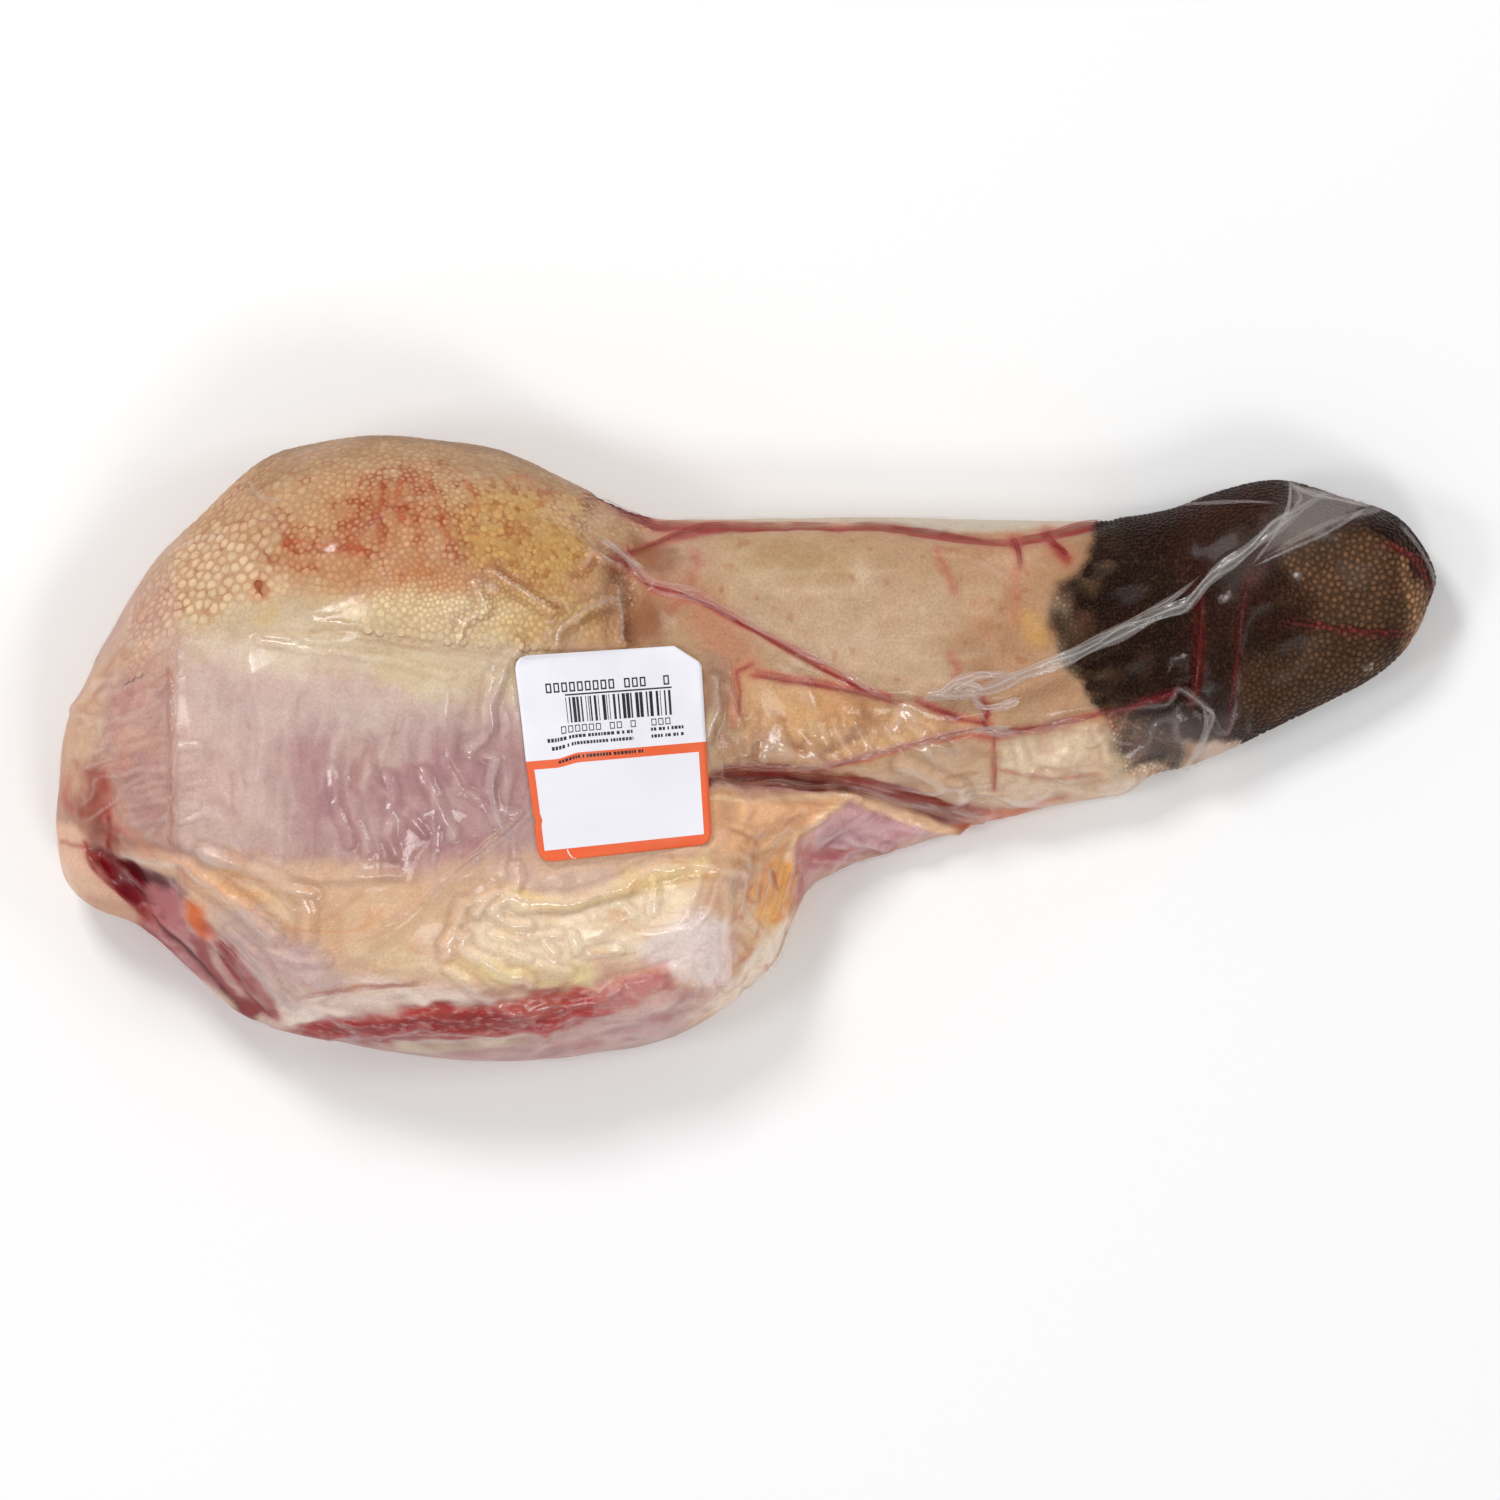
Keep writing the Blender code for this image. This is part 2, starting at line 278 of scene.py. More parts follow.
def line(name, colour, width, strength, points):
    """Paint along a line of that width in mm, on the upper side only."""
    layers.append(name)
    lay(strength * skin.along(points, width), colour)


# %% [markdown]
# ## The root: hump, flank and left side
#
# The back of the tongue's root is a hump with a skin of flat pebbles, cream at the left and
# ochre at the right, with red veins in the middle. Below it the flank is smooth and mauve, and
# the film lies milky over it.

# %% Paint the root
wash("flank", (192, 158, 150), 2.3, 1, [(-162.5, 73.5), (17, 73.5), (17, -76), (-162.5, -76)], 1.4)
wash("hump", (193, 154, 116), 3.7, 1, [(-144, 25), (-137, 43.5), (-117.5, 69), (-93.5, 75.5), (-70.5, 75.5),
    (-38.5, 65.5), (-20, 54.5), (-24.5, 43.5), (-24.5, 20.5), (-43, 23), (-63.5, 23), (-79.5, 25),
    (-96, 29), (-109.5, 32), (-123.5, 28.5), (-135, 24)], 2.3)
wash("hump cream", (215, 184, 149), 3.2, 0.85, [(-133.5, 43.5), (-122, 51.5), (-112, 47), (-105, 36.5),
    (-109.5, 29.5), (-125.5, 25), (-135, 23), (-139.5, 25)], 1.8)
wash("hump fine", (222, 200, 158), 3.2, 0.9, [(-89, 36.5), (-73, 37.5), (-56.5, 36), (-43, 31.5),
    (-33.5, 25), (-47.5, 21.5), (-68, 23), (-84.5, 27.5), (-93.5, 32)], 1.8)
wash("hump ochre", (200, 156, 92), 4.1, 0.85, [(-61.5, 59.5), (-47.5, 63), (-36, 57.5), (-32.5, 48),
    (-36, 40), (-50, 37.5), (-63.5, 43.5), (-68, 52.5)], 1.8)
wash("hump tan top", (165, 131, 95), 2.8, 0.75, [(-116.5, 66.5), (-96, 74.5), (-73, 74.5), (-52, 70),
    (-36, 62), (-22, 54), (-24.5, 50.5), (-43, 59), (-63.5, 64.5), (-79.5, 66), (-98, 64), (-114, 57.5)],
    1.4)
wash("hump dark rim", (120, 86, 60), 1.2, 0.5, [(-113, 69), (-96, 75.5), (-70.5, 75.5), (-52, 71),
    (-33.5, 62.5), (-24.5, 57), (-25.5, 55), (-36, 59.5), (-52, 67), (-70.5, 71), (-93.5, 71.5),
    (-111.5, 66)], 0.7)
wash("hump red", (186, 106, 64), 5.1, 0.42, [(-107.5, 43.5), (-98, 52.5), (-89, 62), (-75, 64), (-68, 52.5),
    (-63.5, 43.5), (-70.5, 36.5), (-84.5, 36.5), (-96, 34.5), (-105, 36.5)], 3.2)
wash("hump red right", (196, 126, 78), 3.2, 0.45, [(-79.5, 43.5), (-61.5, 41), (-43, 37.5), (-36, 41),
    (-33.5, 36.5), (-43, 34.5), (-63.5, 36.5), (-79.5, 37.5)], 2.3)
wash("cream band", (214, 194, 174), 5, 0.9, [(-117.5, 31.5), (-102.5, 33), (-79.5, 25), (-56.5, 21.5),
    (-43, 20.5), (-47.5, 13.5), (-56.5, 6.5), (-79.5, 13.5), (-102.5, 17.5), (-119, 20.5)], 1.8)
wash("band yellow", (212, 184, 132), 2.8, 0.45, [(-89, 23), (-73, 23), (-56.5, 21.5), (-46.5, 20.5),
    (-47.5, 13.5), (-59, 11.5), (-75, 13.5), (-86.5, 16)], 1.8)
wash("neck cream", (196, 150, 108), 2.8, 0.8, [(-43, 36.5), (-27, 37.5), (-22, 29.5), (-24.5, 23),
    (-43, 21.5), (-52, 25)], 1.4)
wash("flank haze", (204, 180, 170), 6, 0.8, [(-128, 20.5), (-112, 23), (-96, 16), (-70.5, 11.5),
    (-56.5, 6.5), (-63.5, 0), (-84.5, 0), (-102.5, 2), (-116.5, -2.5), (-127, 2)], 2.3)
wash("flank purple", (170, 118, 121), 8, 0.85, [(-102.5, 0), (-84.5, -2.5), (-63.5, 2), (-53, 6.5),
    (-50, -11.5), (-53, -23), (-63.5, -27.5), (-84.5, -28.5), (-98, -25), (-105, -11.5)], 3.2)
wash("flank left", (208, 176, 162), 5, 0.8, [(-130, 11.5), (-116.5, 6.5), (-111.5, -7), (-113, -21),
    (-117.5, -26), (-128, -25), (-130, -11.5)], 2.3)
wash("flank top mauve", (196, 168, 164), 4, 0.6, [(-130, 25), (-117.5, 28.5), (-111.5, 23), (-114, 13.5),
    (-128, 11.5)], 2.3)
wash("left side", (196, 160, 140), 3, 0.95, [(-162.5, -18.5), (-158, 4.5), (-151, 20.5), (-142, 36.5),
    (-135, 43.5), (-132, 39), (-132, 11.5), (-132, -25.5), (-148.5, -23)], 1.8)
wash("left orange", (212, 166, 128), 2.8, 0.6, [(-159, 6.5), (-152, 18), (-144.5, 23), (-133.5, 25),
    (-144, 18.5), (-148.5, 11.5), (-150.5, -2.5), (-151.5, -11.5), (-158, -11.5)], 1.8)
wash("left mauve", (184, 142, 134), 2.3, 0.95, [(-146, 13.5), (-133.5, 18.5), (-132.5, -2.5), (-133, -23),
    (-139.5, -23), (-144.5, -11.5), (-146.5, 2)], 1.8)
wash("left low", (156, 88, 70), 4, 1, [(-158, -11.5), (-148.5, -10.5), (-142, -18.5), (-139.5, -25.5),
    (-148.5, -23), (-155.5, -18.5)], 1.8)
line("hump crease 1", (168, 124, 84), 0.5, 0.7, [(-110, 27), (-102.5, 26), (-96, 27.5), (-86.5, 25),
    (-79.5, 24.5)])
line("hump crease 2", (172, 132, 88), 0.5, 0.7, [(-79.5, 24), (-68, 22.5), (-52, 20.5), (-43, 18.5)])
line("hump crease 3", (176, 140, 100), 0.5, 0.5, [(-109.5, 18.5), (-96, 17.5), (-84.5, 18.5)])
line("hump fold", (150, 84, 50), 0.6, 0.8, [(-56.5, 41), (-51, 37.5), (-45.5, 34), (-41.5, 32.5)])
line("neck fold a", (146, 100, 66), 1.2, 0.8, [(-42.5, 25), (-39.5, 28), (-33.5, 30.5), (-27.5, 33)])
line("neck fold b", (150, 110, 78), 1.4, 0.8, [(-28, 40), (-27, 34.5), (-26.5, 28.5), (-24.5, 24)])
line("red spot", (132, 28, 18), 1.2, 0.95, [(-111.5, 37), (-111, 35.5)])
line("red spot halo", (204, 140, 96), 2.5, 0.6, [(-111.5, 37), (-110.5, 34.5)])
line("yellow stain", (214, 170, 80), 1.6, 0.7, [(-108, 32), (-110, 29), (-111.5, 29.5)])
line("hump vein 1", (166, 50, 30), 0.9, 0.8, [(-83.5, 61.5), (-83, 57.5), (-84.5, 52.5), (-83.5, 47)])
line("hump vein 2", (176, 70, 40), 0.9, 0.7, [(-79.5, 61.5), (-80, 57.5), (-79, 52.5)])
line("hump vein 3", (170, 54, 36), 1.2, 0.8, [(-105.5, 47), (-101.5, 48), (-98, 47), (-92.5, 45.5),
    (-89, 46)])
line("hump vein 4", (176, 72, 44), 0.9, 0.6, [(-92.5, 50.5), (-90, 47), (-86.5, 44.5)])
line("hump vein 5", (178, 84, 48), 0.7, 0.7, [(-73, 62), (-70.5, 57.5), (-69.5, 51.5), (-67, 48)])
line("hump vein 6", (184, 92, 50), 0.7, 0.6, [(-64.5, 62), (-62, 57.5), (-61, 54.5)])
line("hump vein 7", (184, 92, 50), 0.7, 0.6, [(-54.5, 62), (-51, 63), (-46.5, 59), (-47.5, 56)])
line("hump vein 8", (168, 90, 46), 0.9, 0.7, [(-33.5, 47), (-35, 43), (-38.5, 40)])
line("left red", (178, 60, 56), 1.6, 0.8, [(-148, -6), (-146.5, -11.5), (-147, -15), (-145.5, -20)])
line("left red low", (186, 84, 72), 1.4, 0.5, [(-156.5, -7), (-157.5, -11.5), (-155.5, -14)])
line("left red 2", (200, 110, 96), 1.2, 0.6, [(-148.5, -13.5), (-143, -18.5), (-137, -23)])
line("pleat left dark", (150, 88, 78), 0.7, 0.7, [(-132.5, 18), (-132, 2), (-132, -11.5), (-131.5, -23)])
line("pleat red foot", (196, 110, 92), 1.4, 0.5, [(-131, -22.5), (-130.5, -26), (-129, -29),
    (-125.5, -32.5)])
print("on the root:", len(layers), "washes and lines")

# %% [markdown]
# ## The fat, the cut muscle and the lower left
#
# Fat has a warm peach colour, with yellow where it is thick. A near white patch by the small lobe
# is pale fat with a painted glint of the film over it. The cut at the bottom shows red muscle, and a
# dark cleft runs into the meat at the lower left.

# %% Paint the fat and the muscle
wash("fat", (226, 184, 146), 6, 1, [(-142, -23), (-125.5, -26), (-112, -27.5), (-96, -27.5), (-75, -29),
    (-56.5, -25.5), (-43, -23), (-10.5, -22), (10, -11.5), (12.5, -28), (12.5, -39.5), (7.5, -51),
    (-10.5, -62.5), (-52, -54.5), (-102.5, -54.5), (-123.5, -41.5), (-135, -32.5)], 2.3)
wash("fat cream", (246, 224, 192), 3.7, 0.9, [(-96, -34.5), (-70.5, -34.5), (-52, -32.5), (-24.5, -30),
    (-10.5, -30), (-13, -44), (-24.5, -52), (-47.5, -54.5), (-70.5, -52), (-89, -48.5)], 2.3)
wash("fat yellow low", (246, 220, 160), 2.3, 0.85, [(-68, -47.5), (-56.5, -49), (-43, -51.5), (-24.5, -50),
    (-13, -44), (-10.5, -47.5), (-24.5, -53.5), (-43, -56), (-56.5, -54.5), (-67, -50.5)], 1.4)
wash("fat yellow top", (244, 214, 146), 1.8, 0.85, [(-55.5, -32.5), (-43, -34), (-33.5, -32.5),
    (-24.5, -29), (-13, -26.5), (-6, -23), (-10.5, -30), (-24.5, -33.5), (-36, -36), (-52, -35.5)], 1.4)
wash("fat below label", (214, 180, 168), 2.8, 0.7, [(-56.5, -26), (-43, -27.5), (-24.5, -25.5),
    (-31.5, -30), (-43, -32.5), (-52, -31.5), (-59, -30)], 1.8)
wash("fat right", (226, 178, 138), 2.3, 0.8, [(-9.5, -11.5), (10, -9.5), (12.5, -21), (-1.5, -26),
    (-8, -23)], 1.4)
# Painted reflection: this near white patch is a glint of a flat facet of the film, painted over pale fat.
wash("pale fat and painted glint", (252, 236, 230), 2.3, 1, [(-10.5, -38.5), (-4, -40.5), (-4, -55.5), (-12, -52.5),
    (-19.5, -50.5), (-24.5, -48.5), (-20, -44)])
wash("lobe orange", (248, 164, 74), 1.8, 1, [(1.5, -30), (7.5, -25.5), (12.5, -28), (12, -36), (7.5, -41.5),
    (3.5, -40.5), (2, -34.5)], 1.4)
wash("lobe low", (254, 232, 208), 1.8, 0.85, [(-0.5, -52), (4.5, -44), (11, -39.5), (10, -46), (4.5, -53),
    (-6, -60), (-13, -61), (-7, -55.5)], 1.4)
wash("lobe grey", (168, 150, 124), 1.2, 0.7, [(11.5, -40.5), (5.5, -50.5), (-0.5, -55.5), (1.5, -57),
    (7.5, -52), (13, -41.5)], 0.7)
wash("cream strip", (244, 222, 208), 1.8, 0.95, [(-111.5, -64.5), (-120, -54.5), (-102.5, -52),
    (-84.5, -52.5), (-68, -54.5), (-52, -56), (-61.5, -58.5), (-79.5, -59), (-96, -62), (-105, -65)])
wash("flap", (230, 186, 158), 1.4, 1, [(-162.5, -16.5), (-154.5, -18), (-150.5, -22.5), (-144, -30),
    (-137, -41.5), (-144, -43), (-152, -36), (-160, -30)], 0.9)
wash("flap low", (196, 142, 118), 1.4, 0.6, [(-152, -33.5), (-142, -36), (-136, -43), (-144, -43),
    (-151, -38)], 0.9)
wash("crevice", (88, 8, 18), 0.8, 1, [(-153, -22), (-148, -23), (-139.5, -27.5), (-131, -30), (-128, -33),
    (-131, -36.5), (-135.5, -42), (-138.5, -40.5), (-143.5, -34.5), (-149, -28.5)], 0.7)
wash("gash", (160, 34, 42), 1, 1, [(-141, -37.5), (-134.5, -45), (-128.5, -47.5), (-122, -52.5),
    (-114, -60.5), (-111.5, -63.5), (-115, -63), (-123.5, -57.5), (-131.5, -50), (-138.5, -43)], 0.7)
wash("mauve muscle", (186, 104, 108), 1.2, 0.95, [(-142.5, -33), (-137, -31), (-131, -32.5), (-129, -36),
    (-129, -46), (-135, -44.5), (-139.5, -38.5)])
wash("mauve low", (190, 140, 140), 1.4, 0.8, [(-132.5, -41.5), (-124.5, -48.5), (-119, -55.5),
    (-124.5, -54.5), (-131.5, -48.5)])
wash("rim cream", (226, 200, 176), 1.2, 0.9, [(-127, -53), (-120, -56.5), (-113, -63), (-111.5, -65.5),
    (-119, -61), (-125.5, -55.5)], 0.9)
wash("orange fat", (224, 100, 30), 1.4, 1, [(-129, -33.5), (-124.5, -36), (-122, -43), (-123, -46),
    (-126.5, -44.5), (-128.5, -39.5)], 0.9)
wash("white mauve", (204, 172, 168), 4, 0.9, [(-122, -37.5), (-112, -36), (-100.5, -45), (-89, -53),
    (-98, -57.5), (-111.5, -60), (-117.5, -51), (-121.5, -44)], 1.4)
wash("gash edge", (150, 20, 32), 0.8, 0.95, [(-123, -45), (-118.5, -46), (-113, -53), (-109, -58.5),
    (-107.5, -62), (-111.5, -63.5), (-115.5, -58.5), (-119.5, -52)], 0.5)
wash("orange stain", (222, 160, 118), 2.3, 0.4, [(-133.5, -24.5), (-124.5, -26), (-112, -32.5), (-105, -36),
    (-114, -36), (-125.5, -32.5), (-133, -30)], 1.4)
wash("muscle", (172, 30, 30), 1.4, 1, [(-105.5, -65.5), (-96, -62), (-84.5, -61), (-73, -58),
    (-61.5, -58.5), (-50, -56.5), (-36, -55), (-24.5, -51.5), (-18, -49), (-16.5, -54.5), (-24.5, -58.5),
    (-33.5, -62.5), (-47.5, -66), (-63.5, -67.5), (-79.5, -67), (-93.5, -68)], 1.4)
wash("muscle dark", (138, 18, 22), 1.8, 0.8, [(-102.5, -65.5), (-84.5, -62), (-68, -60), (-56.5, -60),
    (-47.5, -62.5), (-56.5, -66), (-73, -66), (-91, -67.5)], 1.4)
wash("strip below", (214, 180, 172), 1.2, 0.95, [(-79.5, -68), (-63.5, -68), (-43, -66), (-24.5, -59.5),
    (-15.5, -54.5), (-6, -54.5), (-10.5, -61), (-29, -69), (-52, -73), (-70.5, -72)], 0.9)
wash("strip cream", (214, 196, 166), 0.9, 0.8, [(-82, -68), (-63.5, -68), (-50, -67), (-56.5, -69.5),
    (-70.5, -70.5), (-81, -69.5)], 0.7)
wash("strip mauve", (186, 142, 142), 1.2, 0.7, [(-70.5, -71), (-52, -69.5), (-33.5, -66), (-15.5, -60.5),
    (-13, -63), (-33.5, -69.5), (-56.5, -73.5)], 0.9)
line("orange line", (214, 160, 100), 0.9, 0.4, [(-117.5, -23.5), (-112.5, -28.5), (-111.5, -30)])
line("fat shadow", (196, 140, 100), 1.2, 0.6, [(-113, -29.5), (-102.5, -34.5), (-96, -36), (-93.5, -39)])
line("fat orange 1", (220, 156, 96), 1.4, 0.4, [(-120, -32), (-114, -33), (-111.5, -34)])
line("gash dark", (84, 14, 22), 0.7, 0.9, [(-137, -40), (-128, -48.5), (-120, -57.5), (-114, -63.5)])
line("muscle line", (176, 104, 92), 0.5, 0.7, [(-102.5, -57.5), (-91, -55), (-79.5, -54.5), (-75, -53.5)])
line("membrane vein", (150, 60, 70), 0.7, 0.6, [(13.5, -28), (21.5, -25), (33, -23.5)])
line("lobe red", (190, 50, 34), 1.4, 0.8, [(6, -27.5), (5.5, -30), (4, -33)])
line("lobe red 2", (206, 96, 50), 1.4, 0.6, [(12.5, -21), (11.5, -25.5), (10, -30), (6, -34.5)])
line("fat edge", (214, 150, 80), 0.9, 0.6, [(-9.5, -29), (-1.5, -26), (6.5, -23)])
print("with the fat and the muscle:", len(layers))

# %% [markdown]
# ## The blade, the belly and the web of film
#
# The blade is pale tan with red lines where blood gathered in the folds of the film. The belly
# side shows below it, yellower and wrinkled. Between the blade and the root, the film spans over
# a pocket.

# %% Paint the blade
wash("blade", (186, 150, 118), 1.8, 1, [(-24.5, 57.5), (164, 64), (164, -2.5), (93, -7), (58.5, -11.5),
    (24, -5), (-10.5, -6), (-24.5, 23), (-27, 43.5)])
wash("blade pale", (198, 168, 136), 6, 0.8, [(-6, 43.5), (26, 43.5), (49, 34.5), (49, 16), (30.5, 11.5),
    (12.5, 16), (-4, 27.5)], 3.2)
wash("blade olive", (184, 152, 106), 5.1, 0.6, [(-6, 49), (17, 48), (30.5, 43.5), (12.5, 39), (-6, 41)],
    2.8)
wash("blade right", (180, 134, 100), 3.7, 0.8, [(49, 47), (81.5, 50.5), (76.5, 34.5), (72, 16), (76.5, 6.5),
    (53.5, 11.5), (47, 25)], 2.3)
wash("neck triangle", (150, 98, 70), 2.5, 0.95, [(-31, 48), (-24.5, 44), (-21, 37.5), (-18, 31.5),
    (-20, 25), (-28, 24), (-29.5, 34.5), (-32.5, 42)], 0.9)
wash("neck blade", (188, 128, 100), 3.2, 0.8, [(-24.5, 41), (-10.5, 40), (-1.5, 29.5), (3, 18), (-4, 11.5),
    (-9.5, 6.5), (-10.5, 25), (-20, 34.5)], 1.8)
wash("neck grey", (160, 130, 108), 1.8, 0.8, [(-10.5, 23), (-5, 18), (-5.5, 6.5), (-2.5, 1), (-7, 0),
    (-9.5, 11.5)])
wash("belly papilla", (218, 172, 126), 3.2, 0.9, [(-1.5, 18), (19, 13.5), (35.5, 10), (56, 4.5), (53.5, 1),
    (30.5, -1.5), (12.5, -3.5), (-1.5, 3), (-2.5, 11.5)], 1.8)
wash("belly orange", (208, 150, 96), 2.8, 0.5, [(6.5, 14.5), (24, 13.5), (30.5, 8), (19, 3), (7.5, 8)], 1.8)
wash("belly", (212, 176, 142), 2.3, 0.95, [(-8.5, -3.5), (12.5, -5.5), (35.5, 0), (58.5, 3), (83.5, 10),
    (88, 4.5), (99.5, -5), (81.5, -11.5), (58.5, -13.5), (44.5, -11.5), (26, -9.5), (7.5, -8.5),
    (-9.5, -7.5)], 1.4)
wash("belly pale", (234, 210, 182), 1.8, 0.8, [(58.5, 1), (81.5, 5), (85, 1), (81.5, -3.5), (58.5, -5)],
    1.4)
wash("belly low", (222, 196, 170), 1.8, 0.7, [(44.5, -9.5), (58.5, -6), (72, -5), (83.5, -0.5), (102, -3.5),
    (90.5, -10.5), (70, -13.5), (53.5, -15)])
wash("belly pink", (238, 218, 202), 0.9, 0.7, [(81.5, -8.5), (102, -4.5), (93, -10.5), (83.5, -12)], 0.7)
wash("pocket", (142, 40, 28), 1.2, 0.95, [(-9.5, -6.5), (7.5, -6), (24, -9), (25.5, -11), (7.5, -10),
    (-9.5, -8.5)], 0.9)
wash("pocket long", (140, 58, 50), 1.2, 0.9, [(22.5, -6.5), (35.5, -9), (49, -13.5), (58.5, -16),
    (49, -18.5), (35.5, -14.5), (24, -11)], 0.9)
wash("pocket pink", (190, 130, 116), 1.2, 0.6, [(26, -9.5), (40, -13), (53.5, -16), (49, -17.5),
    (35.5, -13)], 0.9)
wash("web orange", (206, 110, 70), 0.9, 0.85, [(58.5, -14.5), (74.5, -11.5), (70, -13), (56, -18),
    (47, -19.5), (44.5, -18)], 0.7)
wash("web top", (240, 184, 138), 1.4, 1, [(-9.5, -9), (7.5, -11), (25, -10.5), (17, -16.5), (10, -21),
    (-1.5, -25), (-8, -23)], 0.9)
wash("web ridge", (244, 200, 156), 0.9, 0.95, [(24, -10), (35.5, -13.5), (49, -18.5), (43.5, -19.5),
    (30.5, -15), (22.5, -12)], 0.7)
wash("membrane", (214, 168, 170), 1.2, 1, [(11, -23), (19, -15), (24, -12), (35.5, -16), (44.5, -19.5),
    (30.5, -23.5), (17, -28.5), (12.5, -30), (10.5, -26.5)], 0.9)
wash("membrane red", (188, 84, 86), 1.4, 0.8, [(12, -23.5), (19, -23), (26, -23.5), (19, -27.5),
    (12.5, -29)], 0.9)
wash("membrane foot", (208, 146, 146), 1.2, 0.8, [(11, -27.5), (19, -27), (15, -32.5), (12.5, -38),
    (10.5, -32.5)], 0.9)
wash("edge strip", (206, 196, 176), 0.7, 0.85, [(-24.5, 57.5), (7.5, 56.5), (26, 56), (49, 54.5),
    (67.5, 54.5), (81.5, 54), (76.5, 52.5), (65, 51), (47, 51), (35.5, 52.5), (12.5, 53.5), (-10.5, 53.5),
    (-22, 54.5)], 0.5)
line("edge blood 1", (118, 26, 34), 1.2, 0.9, [(-33.5, 59.5), (-27, 55.5), (-21, 52.5), (-10.5, 52),
    (3, 52)])
line("edge blood 2", (112, 30, 36), 0.8, 0.9, [(3, 52), (17, 52), (28.5, 52.5), (40, 51.5), (45.5, 50.5)])
line("edge blood 3", (122, 26, 30), 0.9, 0.9, [(45.5, 50.5), (58.5, 48.5), (67.5, 49.5), (78, 52),
    (86, 54)])
line("neck blood", (128, 28, 36), 1.4, 0.95, [(-31.5, 59), (-26.5, 56), (-22.5, 53.5)])
line("neck blood 2", (150, 36, 46), 1, 0.9, [(-27.5, 45), (-21, 47), (-15.5, 49), (-9.5, 51)])
line("neck blood 3", (168, 60, 58), 0.9, 0.8, [(-28, 44.5), (-25.5, 40.5), (-22, 38), (-18, 37.5)])
line("vein a", (176, 80, 70), 1.4, 0.55, [(-12, 46), (-11, 42.5), (-12, 39.5)])
line("vein b", (186, 96, 80), 1.4, 0.5, [(-17, 31.5), (-15, 34), (-10.5, 35.5)])
line("vein c", (180, 90, 74), 1.4, 0.6, [(44, 46), (45.5, 41), (47.5, 36.5)])
line("vein d", (176, 86, 72), 1.4, 0.6, [(47, 21.5), (48.5, 18.5), (48, 16.5)])
line("vein e", (148, 40, 38), 1.4, 0.85, [(62.5, 49), (62, 46), (63, 42.5)])
line("vein f", (190, 110, 90), 1.6, 0.5, [(61.5, 41), (62, 29.5)])
line("vein g", (146, 38, 36), 1.2, 0.85, [(69.5, 50.5), (71, 47), (73.5, 43.5)])
line("vein h", (196, 130, 100), 1.8, 0.4, [(52.5, 34.5), (56, 25), (60.5, 16)])
line("stain yellow", (214, 164, 88), 2.8, 0.7, [(65, 29.5), (67, 26), (68.5, 27.5)])
line("pleat blood 1", (176, 60, 60), 0.9, 0.85, [(-22, 37), (-10.5, 34.5), (-1.5, 29), (12.5, 22.5),
    (24, 15), (32.5, 12)])
line("pleat blood 2", (186, 70, 66), 0.9, 0.8, [(2.5, 17.5), (12.5, 16), (21.5, 14), (32, 11.5)])
line("pleat blood 2b", (204, 126, 100), 0.9, 0.7, [(-3, 5.5), (-3, 11.5), (-2.5, 17.5), (0.5, 19)])
line("pleat blood 3", (190, 70, 68), 0.9, 0.8, [(39.5, 11), (47, 7.5), (55, 6)])
line("pleat blood 4", (190, 60, 66), 0.9, 0.8, [(53.5, 13), (55, 10), (54.5, 6)])
line("pleat blood 5", (190, 76, 66), 0.9, 0.8, [(17, -4.5), (30.5, -1.5), (40, 1.5), (52.5, 3), (56, 2.5),
    (67.5, 4.5), (82.5, 8.5)])
line("pleat blood 6", (196, 110, 90), 0.7, 0.8, [(57, 3), (57.5, -2.5), (57, -9.5)])
line("belly line", (196, 120, 92), 0.6, 0.6, [(58.5, -5), (70, -7), (81.5, -6)])
line("belly crease a", (160, 104, 78), 0.8, 0.6, [(5.5, 3), (12.5, 0), (19, -3)])
line("belly crease b", (156, 100, 74), 0.8, 0.6, [(17, -1.5), (24, 2), (25.5, 5)])
line("belly crease c", (160, 104, 78), 0.8, 0.6, [(28, -2), (30.5, 3)])
line("pocket edge", (96, 34, 34), 0.7, 0.8, [(-9.5, -7.5), (3, -7), (19, -8.5), (24, -10)])
print("with the blade:", len(layers))

# %% [markdown]
# Blood is drawn into the sharpest folds of the film as thin lines, and it stains the skin beside
# them. One table says where. The stain is painted here, and the lines are laid later on.

